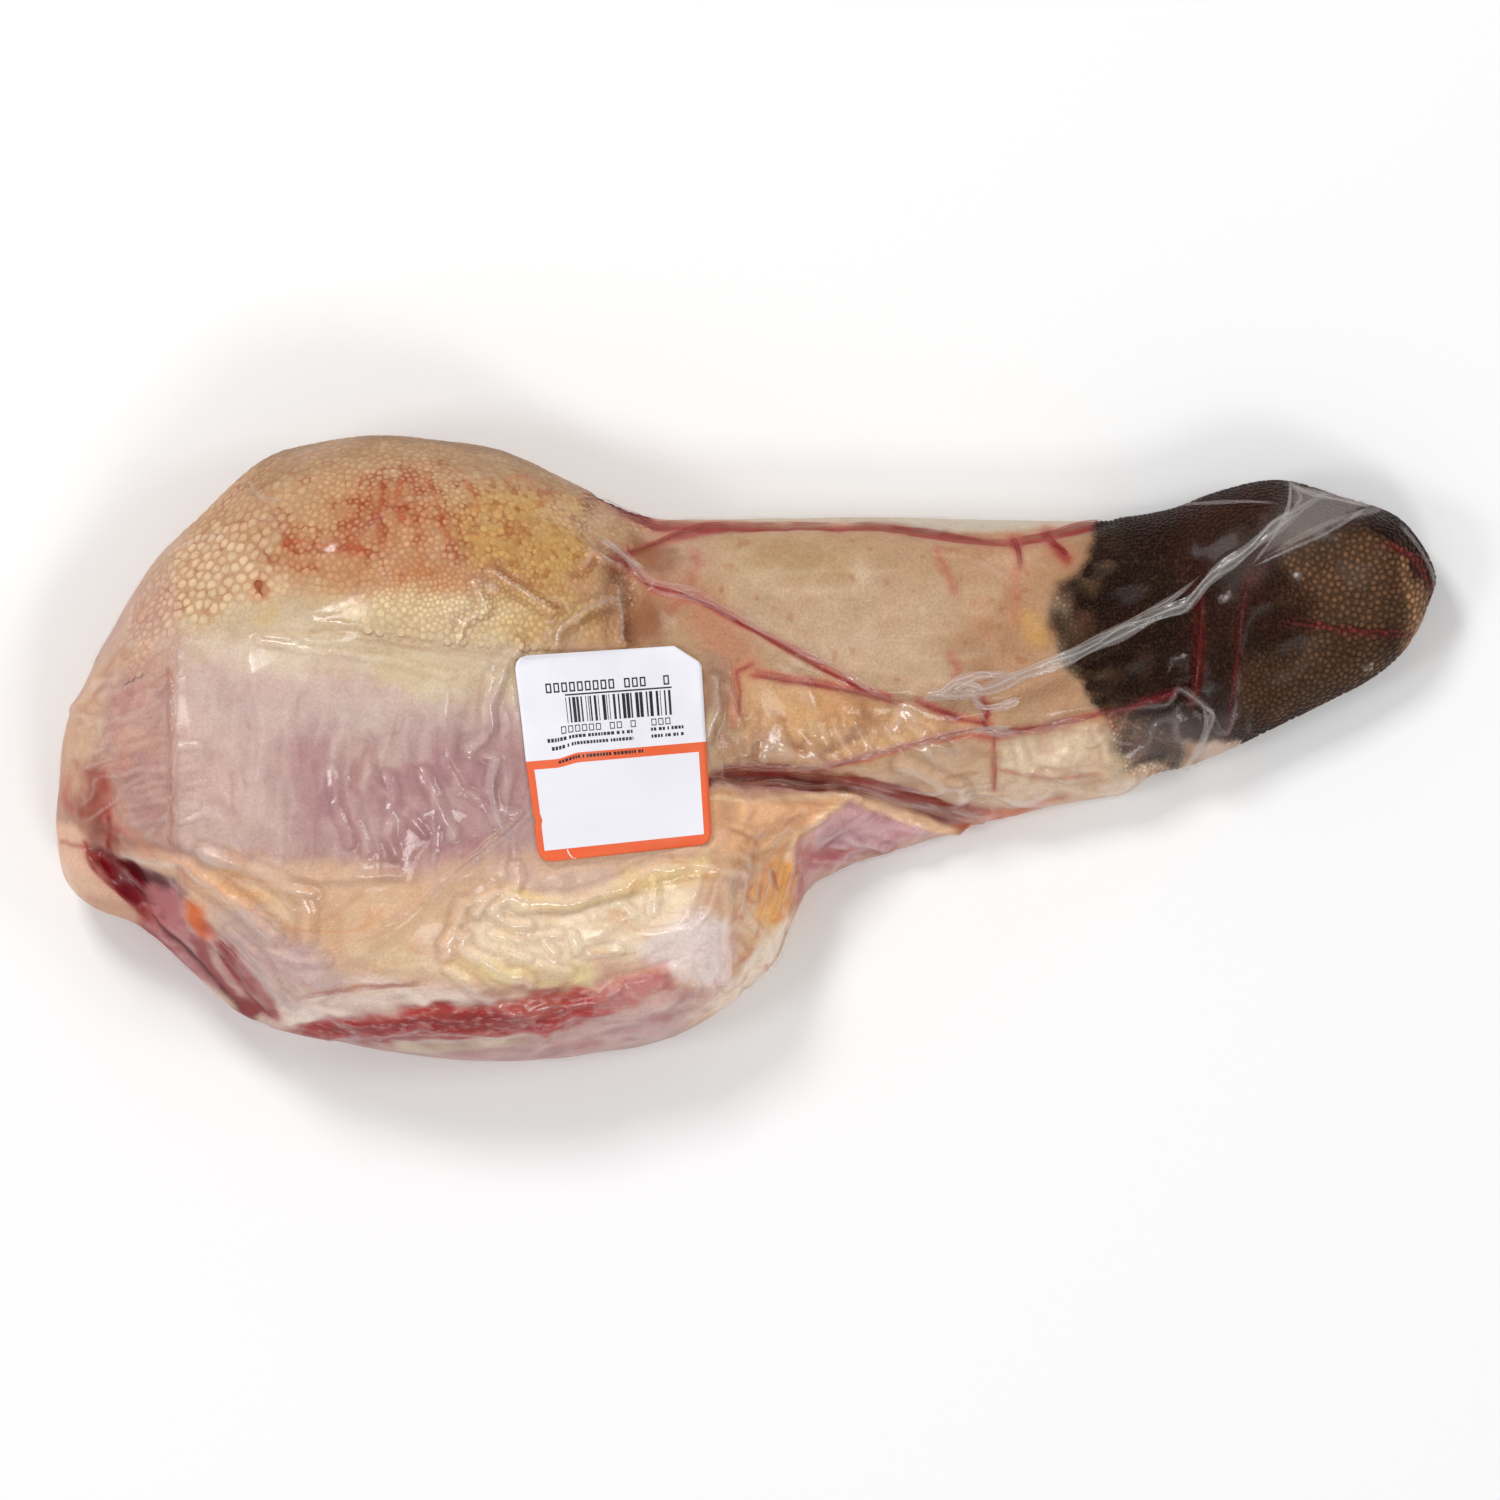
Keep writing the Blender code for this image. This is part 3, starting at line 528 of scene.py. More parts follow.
# %% Stain the skin beside the blood lines
BLOOD_LINES = [
    # width mm, strength, line
    (2.0, 0.85, [(-34.5, 60), (-28, 55.5), (-22, 52.5), (-17, 51)]),
    (1.2, 0.9, [(-22, 52.5), (-10.5, 52), (3, 52), (12.5, 52), (22, 52)]),
    (1.0, 0.9, [(22, 52), (28.5, 52), (35.5, 51), (42, 50.5), (49, 49), (56, 48), (62, 48.5)]),
    (1.2, 0.9, [(62, 48.5), (70, 50), (76.5, 52), (82.5, 53)]),
    (1.8, 0.85, [(61, 49), (62.5, 46), (63, 42)]),
    (1.8, 0.85, [(69, 50.5), (71, 47.5), (74, 44.5)]),
    (1.4, 0.85, [(-28.5, 45), (-24.5, 46), (-20, 48), (-13, 51), (-8, 52)]),
    (1.2, 0.8, [(-29, 44.5), (-25.5, 41), (-22, 37.5), (-18, 36.5)]),
    (1.0, 0.8, [(-18, 36.5), (-10.5, 34), (-1.5, 29), (10, 22.5), (19, 17.5), (30.5, 12)]),
    (1.0, 0.75, [(1, 17), (10, 15.5), (19, 14), (30.5, 11.5), (35.5, 10.5)]),
    (0.9, 0.65, [(-2, 7.5), (-1.5, 13.5), (-2.5, 17.5), (1.5, 19.5)]),
    (1.2, 0.75, [(39, 10.5), (45.5, 8.5), (50.5, 6.5), (56, 6)]),
    (1.2, 0.8, [(54, 11.5), (55.5, 8.5), (54.5, 6), (58, 2.5)]),
    (0.9, 0.75, [(17, -5), (26, -2), (35.5, 0.5), (47, 3.5), (55, 5)]),
    (0.9, 0.7, [(58.5, 3.5), (67.5, 5), (76.5, 6.5), (82.5, 8.5)]),
    (1.4, 0.85, [(82.5, 8.5), (88, 9.5), (95, 11.5), (99, 13.5)]),
    (1.0, 0.6, [(57, 2.5), (57.5, -5), (57, -9.5)]),
    (1.0, 0.8, [(-10.5, -7.5), (-1.5, -6), (10, -6), (24, -8), (35.5, -11), (56, -14.5)]),
    (0.8, 0.7, [(-7, -5), (3, -4), (12.5, -4.5), (19, -6)]),
    (0.9, 0.42, [(105, 36.5), (104.5, 25), (103.5, 13.5), (102.5, 6.5)]),
    (0.8, 0.32, [(118.5, 43.5), (115, 36.5), (113.5, 25), (112, 13.5), (110.5, 5.5)]),
    (0.9, 0.42, [(122.5, 29.5), (129.5, 28.5), (139, 27.5), (154, 27)]),
    (0.8, 0.45, [(150.5, 46), (156, 44), (158.5, 40), (159, 34.5)]),
    (1.4, 0.9, [(-152.5, -22.5), (-149.5, -28.5), (-143, -34), (-137, -40)]),
    (1.4, 0.85, [(-122, -46), (-117.5, -52), (-112.5, -58.5), (-108, -62.5)]),
    (1.4, 0.8, [(-146.5, -14.5), (-146, -18.5), (-147, -22.5), (-146, -26.5)]),
    (1.2, 0.8, [(6, -27.5), (6.5, -30), (7.5, -33)]),
    (1.0, 0.6, [(12.5, -28), (13, -32.5), (12.5, -36)]),
    (0.6, 0.35, [(-102.5, -57.5), (-91, -55.5), (-79.5, -54.5), (-73, -54)]),
]
STAIN, BLOOD_RED = (208, 116, 100), (146, 28, 36)
for width, strength, path in BLOOD_LINES:
    lay(0.4 * strength * skin.along(path, 1.3 * width), STAIN)
    lay(0.75 * strength * skin.along(path, 0.5 * width), BLOOD_RED)
print(len(BLOOD_LINES), "blood lines")

# %% [markdown]
# ## The dark tip
#
# The skin of the tip is almost black, with a sharp scalloped edge against the pale blade. Lighter
# brown patches and a few red veins keep it from being one flat dark. The lightest patch, near the
# end, is painted light where the papillae catch it.

# %% Paint the tip
wash("dark", (34, 18, 10), 1.6, 1, [(81, 56), (79, 48), (76, 40), (71, 37.5), (70, 32), (71, 24),
    (74.5, 17.5), (78, 11.5), (82.5, 8), (84, 1), (88, -4.5), (101, -5), (102, 1), (108, 2), (113.5, 0),
    (164, 11.5), (166.5, 43.5), (145.5, 62), (113.5, 66.5), (95, 59.5)])
wash("dark deep", (26, 14, 8), 4.1, 0.7, [(75.5, 40), (90.5, 43.5), (104.5, 41), (102, 25), (86, 23),
    (74.5, 25), (71, 34.5)], 2.8)
wash("dark red", (50, 24, 17), 4.6, 0.7, [(99.5, 57.5), (118, 59.5), (125, 50.5), (113.5, 29.5),
    (106.5, 16), (102, 25), (99.5, 43.5)], 2.8)
# Painted light: the tip is lighter here, where its papillae catch the light.
wash("tip lit", (94, 68, 50), 5.1, 0.8, [(125, 43.5), (136.5, 50.5), (150.5, 43.5), (155, 32), (148, 25),
    (134, 25), (122.5, 32)], 3.2)
wash("tip orange", (100, 74, 54), 3.2, 0.5, [(125, 43.5), (136.5, 49), (147, 46), (145.5, 37.5),
    (134, 36.5), (125, 37.5)], 2.3)
wash("tip low", (84, 62, 46), 4.1, 0.7, [(113.5, 20.5), (134, 25), (155, 23), (145.5, 13.5), (127.5, 6.5),
    (113.5, 6.5)], 2.8)
wash("tip edge", (156, 118, 86), 1.6, 0.8, [(151, 43.5), (157.5, 36.5), (159.5, 29.5), (155, 23),
    (150.5, 19.5), (153, 29.5)])
wash("tip pink", (206, 180, 164), 0.9, 0.9, [(103.5, -0.5), (108, 1.5), (113.5, 2), (116, 0), (110, -3),
    (104.5, -4.5)], 0.7)
line("dark blood 1", (110, 30, 40), 0.9, 0.9, [(83, 8), (88, 8.5), (93, 11), (98.5, 13)])
line("dark blood 2", (90, 24, 26), 1.4, 0.7, [(104, 36.5), (104.5, 25), (103.5, 13.5), (102.5, 11.5)])
line("dark blood 3", (86, 26, 26), 1.2, 0.6, [(116, 42.5), (113.5, 29.5), (113, 16), (111.5, 2)])
line("dark blood 4", (96, 34, 34), 0.9, 0.7, [(122.5, 28.5), (129.5, 29), (139, 26.5), (154, 26)])
line("dark blood 5", (110, 40, 38), 0.9, 0.7, [(148, 47), (155, 43.5), (158.5, 37.5), (159, 33)])
line("dark blood 6", (84, 30, 28), 1.6, 0.5, [(120.5, 48), (117, 39), (118.5, 34.5)])
print("with the tip:", len(layers))

# %% [markdown]
# ## Veins and pores
#
# Some marks are too many to draw one by one: the net of fine red veins on the hump, the pores
# and freckles on the blade, the streaks of fat. They are drawn where a noise crosses zero,
# which gives thin wandering lines, or where it rises above a limit, which gives spots.

# %% Tools for veins, freckles and patches
def crossing(place, size, thin, shift):
    """Thin wandering lines, from 0 to 1, where a noise of that size crosses zero."""
    return np.exp(-(noise(place, size, shift) / thin) ** 2)


def veins(name, colour, size, thin, strength, outline, shift, stretch=(1, 1, 1), gate=0.0):
    """A net of fine lines inside an outline, broken up where a second noise is below the gate."""
    layers.append(name)
    here = skin.cover(outline, 5.0, 2.5)
    spots = np.flatnonzero(here)
    net = crossing(skin.at[spots] / stretch, size, thin, shift)
    broken = ease((noise(skin.at[spots], 1.6 * size, shift + 3) - gate) / 0.3)
    here[spots] *= net * broken
    lay(strength * here, colour)


def freckles(name, colour, size, limit, strength, outline, shift):
    """Small spots inside an outline."""
    layers.append(name)
    here = skin.cover(outline, 4.0)
    spots = np.flatnonzero(here)
    here[spots] *= ease((noise(skin.at[spots], size, shift) - limit) / 0.12)
    lay(strength * here, colour)


def mottle(name, size, strength, outline, colours, shift, stretch=(1, 1, 1), soft=7.0):
    """Soft patches of a few colours inside an outline."""
    layers.append(name)
    here = skin.cover(outline, soft, 3.0)
    spots = np.flatnonzero(here)
    place = skin.at[spots] / stretch
    for n, colour in enumerate(colours):
        patch = noise(place, size, shift + 4.7 * n) + 0.5 * noise(place, size / 2.3, shift + 4.7 * n + 2)
        share = np.zeros(len(here))
        share[spots] = strength * here[spots] * ease((patch - 0.1) / 0.6)
        lay(share, colour)


# %% [markdown]
# Each area gets soft patches of a few colours of its own, the large ones first. They break up the
# even paint, as the fat, blood and skin below the surface do on the real thing.

# %% Patches of colour
TIP_AREA = [(81, 58.5), (72, 36.5), (74.5, 17.5), (84, 1), (88, -6.5), (113.5, 0), (166.5, 11.5),
    (166.5, 48), (145.5, 64), (113.5, 69)]
FLANK_AREA = [(-130, 25), (-102.5, 23), (-73, 13.5), (-52, 23), (-50, -25.5), (-75, -30), (-102.5, -26.5),
    (-130, -25.5)]
FAT_AREA = [(-132.5, -25.5), (-96, -30), (-56.5, -30), (-6, -23), (12.5, -18.5), (12.5, -39.5),
    (-10.5, -55.5), (-56.5, -57.5), (-102.5, -57.5)]
mottle("flank mottle", 9, 0.22, FLANK_AREA, ((170, 124, 128), (220, 194, 178), (204, 152, 138)), 2.2,
    (1, 1.6, 1))
mottle("flank specks", 3.5, 0.16, FLANK_AREA, ((160, 112, 114), (218, 186, 170)), 6.1, (1, 1.8, 1))
mottle("fat mottle", 8, 0.2, FAT_AREA, ((248, 220, 160), (230, 180, 132), (250, 234, 214), (226, 184, 166)),
    3.4, (1.6, 1, 1))
mottle("fat specks", 3, 0.1, FAT_AREA, ((236, 190, 130), (246, 226, 196), (206, 140, 96)), 8.3, (1.5, 1, 1))
mottle("blade mottle", 7, 0.14, [(-24.5, 54), (81.5, 54), (86, 6.5), (58.5, 2), (-6, 11.5)],
    ((176, 136, 98), (222, 194, 162), (190, 130, 104)), 5.5, (1.5, 1, 1))
mottle("belly mottle", 5, 0.22, [(-9.5, 11.5), (56, 3), (83.5, 10), (102, -5), (70, -11), (40, -4),
    (-9.5, -3)], ((206, 144, 92), (228, 204, 178), (190, 126, 98), (224, 206, 150)), 7.7, (1.4, 1, 1))
mottle("muscle mottle", 4.5, 0.45, [(-106, -66), (-73, -57.5), (-36, -54.5), (-18, -48.5), (-15.5, -55.5),
    (-33.5, -63), (-73, -69)], ((112, 16, 20), (180, 70, 64), (150, 40, 38), (210, 130, 122)), 9.9,
    (2.2, 1, 1))
mottle("strip mottle", 4, 0.4, [(-79.5, -68), (-43, -66), (-13, -54.5), (-1.5, -54.5), (-10.5, -62.5),
    (-52, -73.5)], ((160, 100, 104), (226, 200, 188), (176, 70, 72)), 12.1, (2, 1, 1))
mottle("left mottle", 5, 0.2, [(-160, -18.5), (-158, 4.5), (-142, 36.5), (-132, 34.5), (-132, -23),
    (-148.5, -23)], ((220, 170, 124), (186, 130, 124), (224, 192, 168), (196, 112, 96)), 13.7)
mottle("cleft mottle", 4, 0.4, [(-150, -23), (-130.5, -28), (-125.5, -41.5), (-111.5, -62.5),
    (-116.5, -62.5), (-137, -41.5)], ((118, 26, 38), (196, 140, 146), (150, 60, 72)), 15.3)
mottle("white mottle", 5, 0.3, [(-122, -36), (-100.5, -44), (-84.5, -54.5), (-102.5, -64.5), (-114, -60)],
    ((196, 146, 152), (236, 214, 206), (226, 184, 160)), 16.9)
mottle("web mottle", 6, 0.2, [(-9.5, -9), (25, -10.5), (12.5, -25.5), (-1.5, -34.5), (-10.5, -25.5)],
    ((236, 184, 130), (196, 130, 100), (240, 206, 160)), 18.1)
mottle("lobe mottle", 4, 0.45, [(-10.5, -61), (-0.5, -30), (12.5, -21), (13.5, -41.5), (3, -55.5)],
    ((240, 196, 120), (236, 214, 198), (214, 130, 76), (200, 84, 60)), 19.7)
mottle("membrane mottle", 5, 0.4, [(11, -23), (24, -11.5), (48, -19), (12.5, -32.5)], ((160, 108, 124),
    (206, 172, 176), (172, 84, 92)), 21.3, (1.6, 1, 1))
mottle("hump mottle", 8, 0.2, [(-142, 25), (-132.5, 48), (-116.5, 67.5), (-93.5, 73.5), (-38.5, 64),
    (-23.5, 52.5), (-24.5, 25), (-79.5, 25), (-125.5, 27.5)], ((214, 178, 130), (182, 124, 84),
    (216, 186, 156)), 22.9)
mottle("tip mottle", 9, 0.25, TIP_AREA, ((52, 28, 20), (42, 36, 24), (24, 14, 8)), 24.7)
print("with the patches:", len(layers))

# %% [markdown]
# ## Touches over the patches
#
# Some marks are clear enough to be placed one by one: pale flecks on the dark tip, a red spot on
# the hump, creases in the flap at the far left, the pale fat with its painted glint and the orange
# fat of the small lobe at the right. They come after the patches, so that nothing softens them.

# %% Touches
wash("fleck 1", (170, 160, 158), 0.5, 0.8, [(125.5, 40), (127.5, 41), (128, 39.5), (126.5, 38.5)], 0.3)
wash("fleck 2", (150, 140, 138), 0.5, 0.8, [(108.5, 34.5), (111, 36), (111.5, 35), (109.5, 33.5)], 0.3)
line("fleck 3", (120, 112, 110), 0.3, 0.7, [(97, 18), (98, 20.5), (101, 21.5)])
wash("fleck 4", (140, 130, 120), 0.6, 0.6, [(142.5, 18.5), (144.5, 19.5), (145, 17.5), (143.5, 17)], 0.3)
wash("fat middle", (208, 162, 126), 6, 0.7, [(-102.5, -30), (-79.5, -30), (-61.5, -32.5), (-63.5, -46),
    (-84.5, -48.5), (-102.5, -41.5)])
wash("muscle right", (214, 156, 150), 3, 0.6, [(-33.5, -49), (-17, -48.5), (-15.5, -57.5), (-24.5, -60),
    (-33.5, -60.5)])
wash("fine yellow", (198, 162, 98), 4, 0.5, [(-61.5, 36.5), (-43, 39), (-33.5, 32), (-43, 24), (-56.5, 26)])
wash("hazy band", (206, 182, 143), 6, 0.6, [(-128, 34.5), (-112, 36.5), (-93.5, 34), (-75, 25), (-50, 20),
    (-52, 11.5), (-75, 13.5), (-102.5, 17), (-128, 18)], 2.5)
wash("lower left brown", (156, 72, 56), 3, 0.85, [(-153.5, -3.5), (-148.5, -2.5), (-146, -9.5), (-147, -17),
    (-149.5, -20.5), (-151.5, -14)])
line("flap crease", (200, 114, 98), 0.7, 0.6, [(-163.5, -24.5), (-160, -28), (-157.5, -32.5),
    (-154.5, -36)])
line("flap crease 2", (240, 210, 190), 0.8, 0.6, [(-161.5, -23), (-158, -27.5), (-155, -33)])
line("flap rim", (170, 76, 70), 0.6, 0.6, [(-158.5, -21.5), (-153.5, -23), (-148.5, -25), (-144.5, -31.5)])
line("web edge 1", (250, 214, 170), 0.6, 0.8, [(-9.5, -11), (3, -11.5), (24, -10.5)])
line("web edge 2", (250, 214, 170), 0.6, 0.8, [(24, -11), (17, -15), (11.5, -20), (9.5, -26)])
line("web edge 3", (248, 208, 164), 0.6, 0.8, [(24, -11), (33, -15), (43.5, -19), (50.5, -20)])
line("web crease 1", (196, 134, 96), 0.7, 0.6, [(-4, -18.5), (2, -20.5), (7.5, -19), (12.5, -15)])
line("web crease 2", (196, 134, 96), 0.7, 0.5, [(-1.5, -23), (4.5, -25.5), (10, -22)])
wash("red spot halo", (196, 116, 76), 2.0, 0.5, [(-113, 39), (-111, 40), (-109.5, 37), (-110.5, 34.5),
    (-112.5, 35)], 0.6)
wash("red spot", (120, 20, 14), 0.8, 0.95, [(-112.5, 38), (-111, 38.5), (-110.5, 36.5), (-111, 35),
    (-112, 35.5)], 0.4)
wash("tip shade", (40, 18, 10), 3.0, 0.7, [(120.5, 41), (129.5, 39), (132, 32), (127.5, 25), (119.5, 25),
    (117, 34.5)])
# More of the painted glint over the pale fat.
wash("pale fat and painted glint, top", (252, 234, 228), 2.5, 0.65, [(-20, -40.5), (-10.5, -36), (-4.5, -40.5), (-4.5, -54.5),
    (-10.5, -54.5), (-20, -49), (-24.5, -46)])
wash("lobe top", (250, 188, 104), 2.0, 0.5, [(1.5, -30), (7.5, -25.5), (12.5, -28.5), (12, -36),
    (6.5, -41.5), (2.5, -40.5)])
wash("lobe pale", (254, 236, 216), 2.5, 0.6, [(-1.5, -52), (4.5, -45), (10.5, -40.5), (9.5, -46),
    (4.5, -54.5), (-5, -59.5), (-10.5, -60)])
wash("neck shade", (146, 94, 68), 1.8, 0.9, [(-27.5, 50), (-22, 47), (-15.5, 46), (-13.5, 43.5),
    (-18.5, 40), (-22, 41), (-25.5, 44.5)])
wash("crevice deep", (124, 12, 28), 0.7, 0.95, [(-150, -23.5), (-144.5, -26), (-138.5, -32), (-137, -36),
    (-140.5, -37), (-144.5, -33.5), (-147.5, -28.5)])
wash("gash deep", (140, 18, 30), 0.8, 0.8, [(-129, -44), (-125.5, -45), (-120.5, -52), (-115.5, -58),
    (-111.5, -63), (-114, -63), (-120, -57.5), (-125.5, -50.5)])
print("with the touches:", len(layers))

# %% [markdown]
# ## Blood, threads and pits
#
# Blood lies in the grooves between the hump's pebbles as a fine net. It is kept apart at first,
# because it also reddens the pebbles, which are made later. The threads, pits and streaks of the
# skin are painted at once.

# %% Blood between the pebbles
skin.blood = np.zeros(len(skin.at))


def bleed(strength, size, thin, outline, shift, stretch=(1, 1, 1), gate=0.0):
    """Blood in the grooves between the pebbles, inside an outline."""
    here = skin.cover(outline, 3.0, 3.0)
    spots = np.flatnonzero(here)
    net = crossing(skin.at[spots] / stretch, size, thin, shift)
    broken = ease((noise(skin.at[spots], 5.0, shift + 3) - gate) / 0.4)
    here[spots] *= strength * net * broken
    skin.blood = np.maximum(skin.blood, here)


bleed(0.95, 5.0, 0.17, [(-111.5, 49), (-106, 54), (-96, 52.5), (-92.5, 47), (-98, 40.5), (-108.5, 43)], 3.3,
    gate=-0.5)
bleed(1.0, 5.0, 0.19, [(-92.5, 62), (-79.5, 64), (-74, 59.5), (-75, 50.5), (-82, 44.5), (-91, 47),
    (-94.5, 54)], 7.1, (0.6, 1.5, 1), gate=-0.6)
bleed(0.9, 5.0, 0.16, [(-75, 62), (-63.5, 64), (-61.5, 52.5), (-63.5, 43.5), (-73, 43.5), (-76, 52.5)], 9.4,
    (0.6, 1.5, 1), gate=-0.3)
bleed(0.8, 4.0, 0.15, [(-125.5, 64), (-112, 71), (-93.5, 73.5), (-73, 71), (-61.5, 62), (-63.5, 41),
    (-102.5, 36.5), (-119, 43.5)], 14.2, gate=0.0)
bleed(0.65, 3.6, 0.20, [(-73, 71), (-52, 71), (-33.5, 57.5), (-33.5, 41), (-56.5, 40), (-70.5, 43.5)], 19.8,
    gate=0.05)
bleed(0.45, 4.0, 0.2, [(-139.5, 25), (-135, 43.5), (-119, 62), (-96, 73.5), (-114, 43.5), (-130.5, 25)],
    24.4, gate=0.0)
print("blood on", round((skin.blood > 0.3).mean() * 100, 1), "percent of the skin")

# %% Threads, pits and streaks
veins("hump threads", (166, 96, 56), 2.6, 0.14, 0.35, [(-142, 25), (-132.5, 48), (-116.5, 67.5),
    (-93.5, 73.5), (-38.5, 64), (-23.5, 52.5), (-24.5, 34.5), (-79.5, 32), (-125.5, 34.5)], 5.7, gate=0.0)
freckles("ochre pits", (158, 88, 40), 0.95, 0.4, 0.55, [(-73, 64), (-43, 64), (-31.5, 47), (-43, 34.5),
    (-68, 41)], 31.1)
freckles("blade freckles", (168, 104, 62), 2.0, 0.66, 0.5, [(-24.5, 50.5), (72, 48), (70, 11.5), (3, -2.5),
    (-10.5, 25)], 8.8)
freckles("rim pits", (134, 98, 68), 1.1, 0.35, 0.35, [(-118, 60), (-96, 69), (-70.5, 69), (-47, 62),
    (-29, 53), (-24, 58), (-52, 73), (-96, 76), (-122, 66)], 33.7)
streaks = [(-22, 49), (70, 47), (72, 25), (58.5, 11.5), (30.5, 13.5), (3, 25)]
veins("blade streaks", (226, 200, 168), 5.0, 0.3, 0.25, streaks, 3.3, stretch=(2.4, 1, 1), gate=-0.4)
veins("flank threads", (150, 98, 104), 4.0, 0.1, 0.3, [(-128, 11.5), (-52, 11.5), (-52, -25.5),
    (-125.5, -28)], 23.1, stretch=(1, 2.5, 1))
veins("belly shadows", (164, 106, 74), 4.0, 0.22, 0.5, [(-9.5, 11.5), (7.5, 13.5), (26, 11.5), (35.5, 2),
    (26, -3.5), (7.5, -5), (-9.5, -5.5)], 45.1, stretch=(0.7, 1.8, 1), gate=-0.2)
veins("belly shadows 2", (176, 120, 88), 4.0, 0.2, 0.45, [(30.5, -3.5), (49, 3), (76.5, 4.5), (93, -3.5),
    (76.5, -11.5), (53.5, -15), (40, -11.5)], 47.3, stretch=(2.0, 0.8, 1), gate=-0.2)
veins("band streaks", (232, 220, 196), 5.0, 0.3, 0.35, [(-130.5, 28.5), (-102.5, 27.5), (-75, 21.5),
    (-52, 19.5), (-52, 11.5), (-79.5, 11.5), (-107.5, 13.5), (-130.5, 18)], 41.3, stretch=(3, 0.8, 1),
    gate=-0.5)
veins("flank streaks", (216, 188, 180), 4.0, 0.25, 0.4, FLANK_AREA, 43.9, stretch=(0.8, 3, 1), gate=-0.3)
veins("fat threads", (206, 130, 70), 5.0, 0.08, 0.35, [(-132.5, -23), (-56.5, -25.5), (-10.5, -23),
    (-13, -53), (-112, -57.5)], 27.7, stretch=(2.5, 1, 1))
veins("membrane threads", (130, 54, 62), 4.0, 0.14, 0.4, [(12.5, -23), (24, -13), (47, -19), (12.5, -31.5)],
    29.9)
veins("lobe threads", (196, 70, 36), 4.0, 0.14, 0.5, [(-0.5, -28), (12.5, -21), (12.5, -48.5),
    (-10.5, -60)], 35.3)
print("with the threads:", len(layers))

# %% [markdown]
# ## Marks for the skin's finish
#
# The material needs to know where the skin is rough with papillae and where it is cut muscle.
# Three soft masks are made, the third for where the skin is dark, and the material reads the
# first two. They travel in the red, green and blue of one more colour attribute, which saves three
# separate ones.

# %% Masks
HUMP = [(-144.5, 23), (-137, 43.5), (-117.5, 69), (-93.5, 74.5), (-70.5, 74.5), (-38.5, 65.5), (-21, 55),
    (-24.5, 43.5), (-24.5, 23), (-43, 22.5), (-63.5, 21.5), (-79.5, 24), (-96, 28), (-109.5, 30),
    (-123.5, 26), (-135, 20.5), (-142, 11.5)]
TIP = [(81, 58.5), (79, 48), (76, 40), (71, 37.5), (70, 32), (71, 24), (74.5, 17.5), (78, 11.5), (82.5, 8),
    (84, 1), (88, -6.5), (101, -6.5), (102, 1), (108, 2), (113.5, 0), (166.5, 11.5), (166.5, 48),
    (145.5, 64), (113.5, 69), (95, 62)]
BLADE = [(-24.5, 54), (-6, 51.5), (24, 52), (50, 49), (84, 53), (79, 34.5), (84, 8), (59, 3), (20.5, -3),
    (-6, -4), (-10.5, 25), (-24.5, 25)]
MUSCLE = [(-105.5, -66), (-96, -62), (-84.5, -61), (-73, -58), (-61.5, -58.5), (-50, -56.5), (-36, -55),
    (-24.5, -51.5), (-18, -49), (-16.5, -54.5), (-24.5, -58.5), (-33.5, -62.5), (-47.5, -66),
    (-63.5, -67.5), (-79.5, -67), (-93.5, -68)]

hump = skin.cover(HUMP, 2.0, 1.5)
tip = skin.cover(TIP, 0.8, 1.0)
papillae = np.maximum(skin.cover(BLADE, 3.0), np.maximum(hump, tip))
muscle = skin.cover(MUSCLE, 1.2, 1.2)
skin.masks = np.stack([papillae, muscle, tip, np.ones_like(tip)], axis=1)
print("share of the skin with papillae:", round(papillae.mean(), 2))

# %% [markdown]
# ## Relief under the film
#
# The frame's solid has the big forms. The lumps of fat, the furrows by the neck and the small
# creases come on top, as heights in mm along the outward direction. One function gives them for
# any surface, because the film is shrunk onto the meat and follows the same relief.

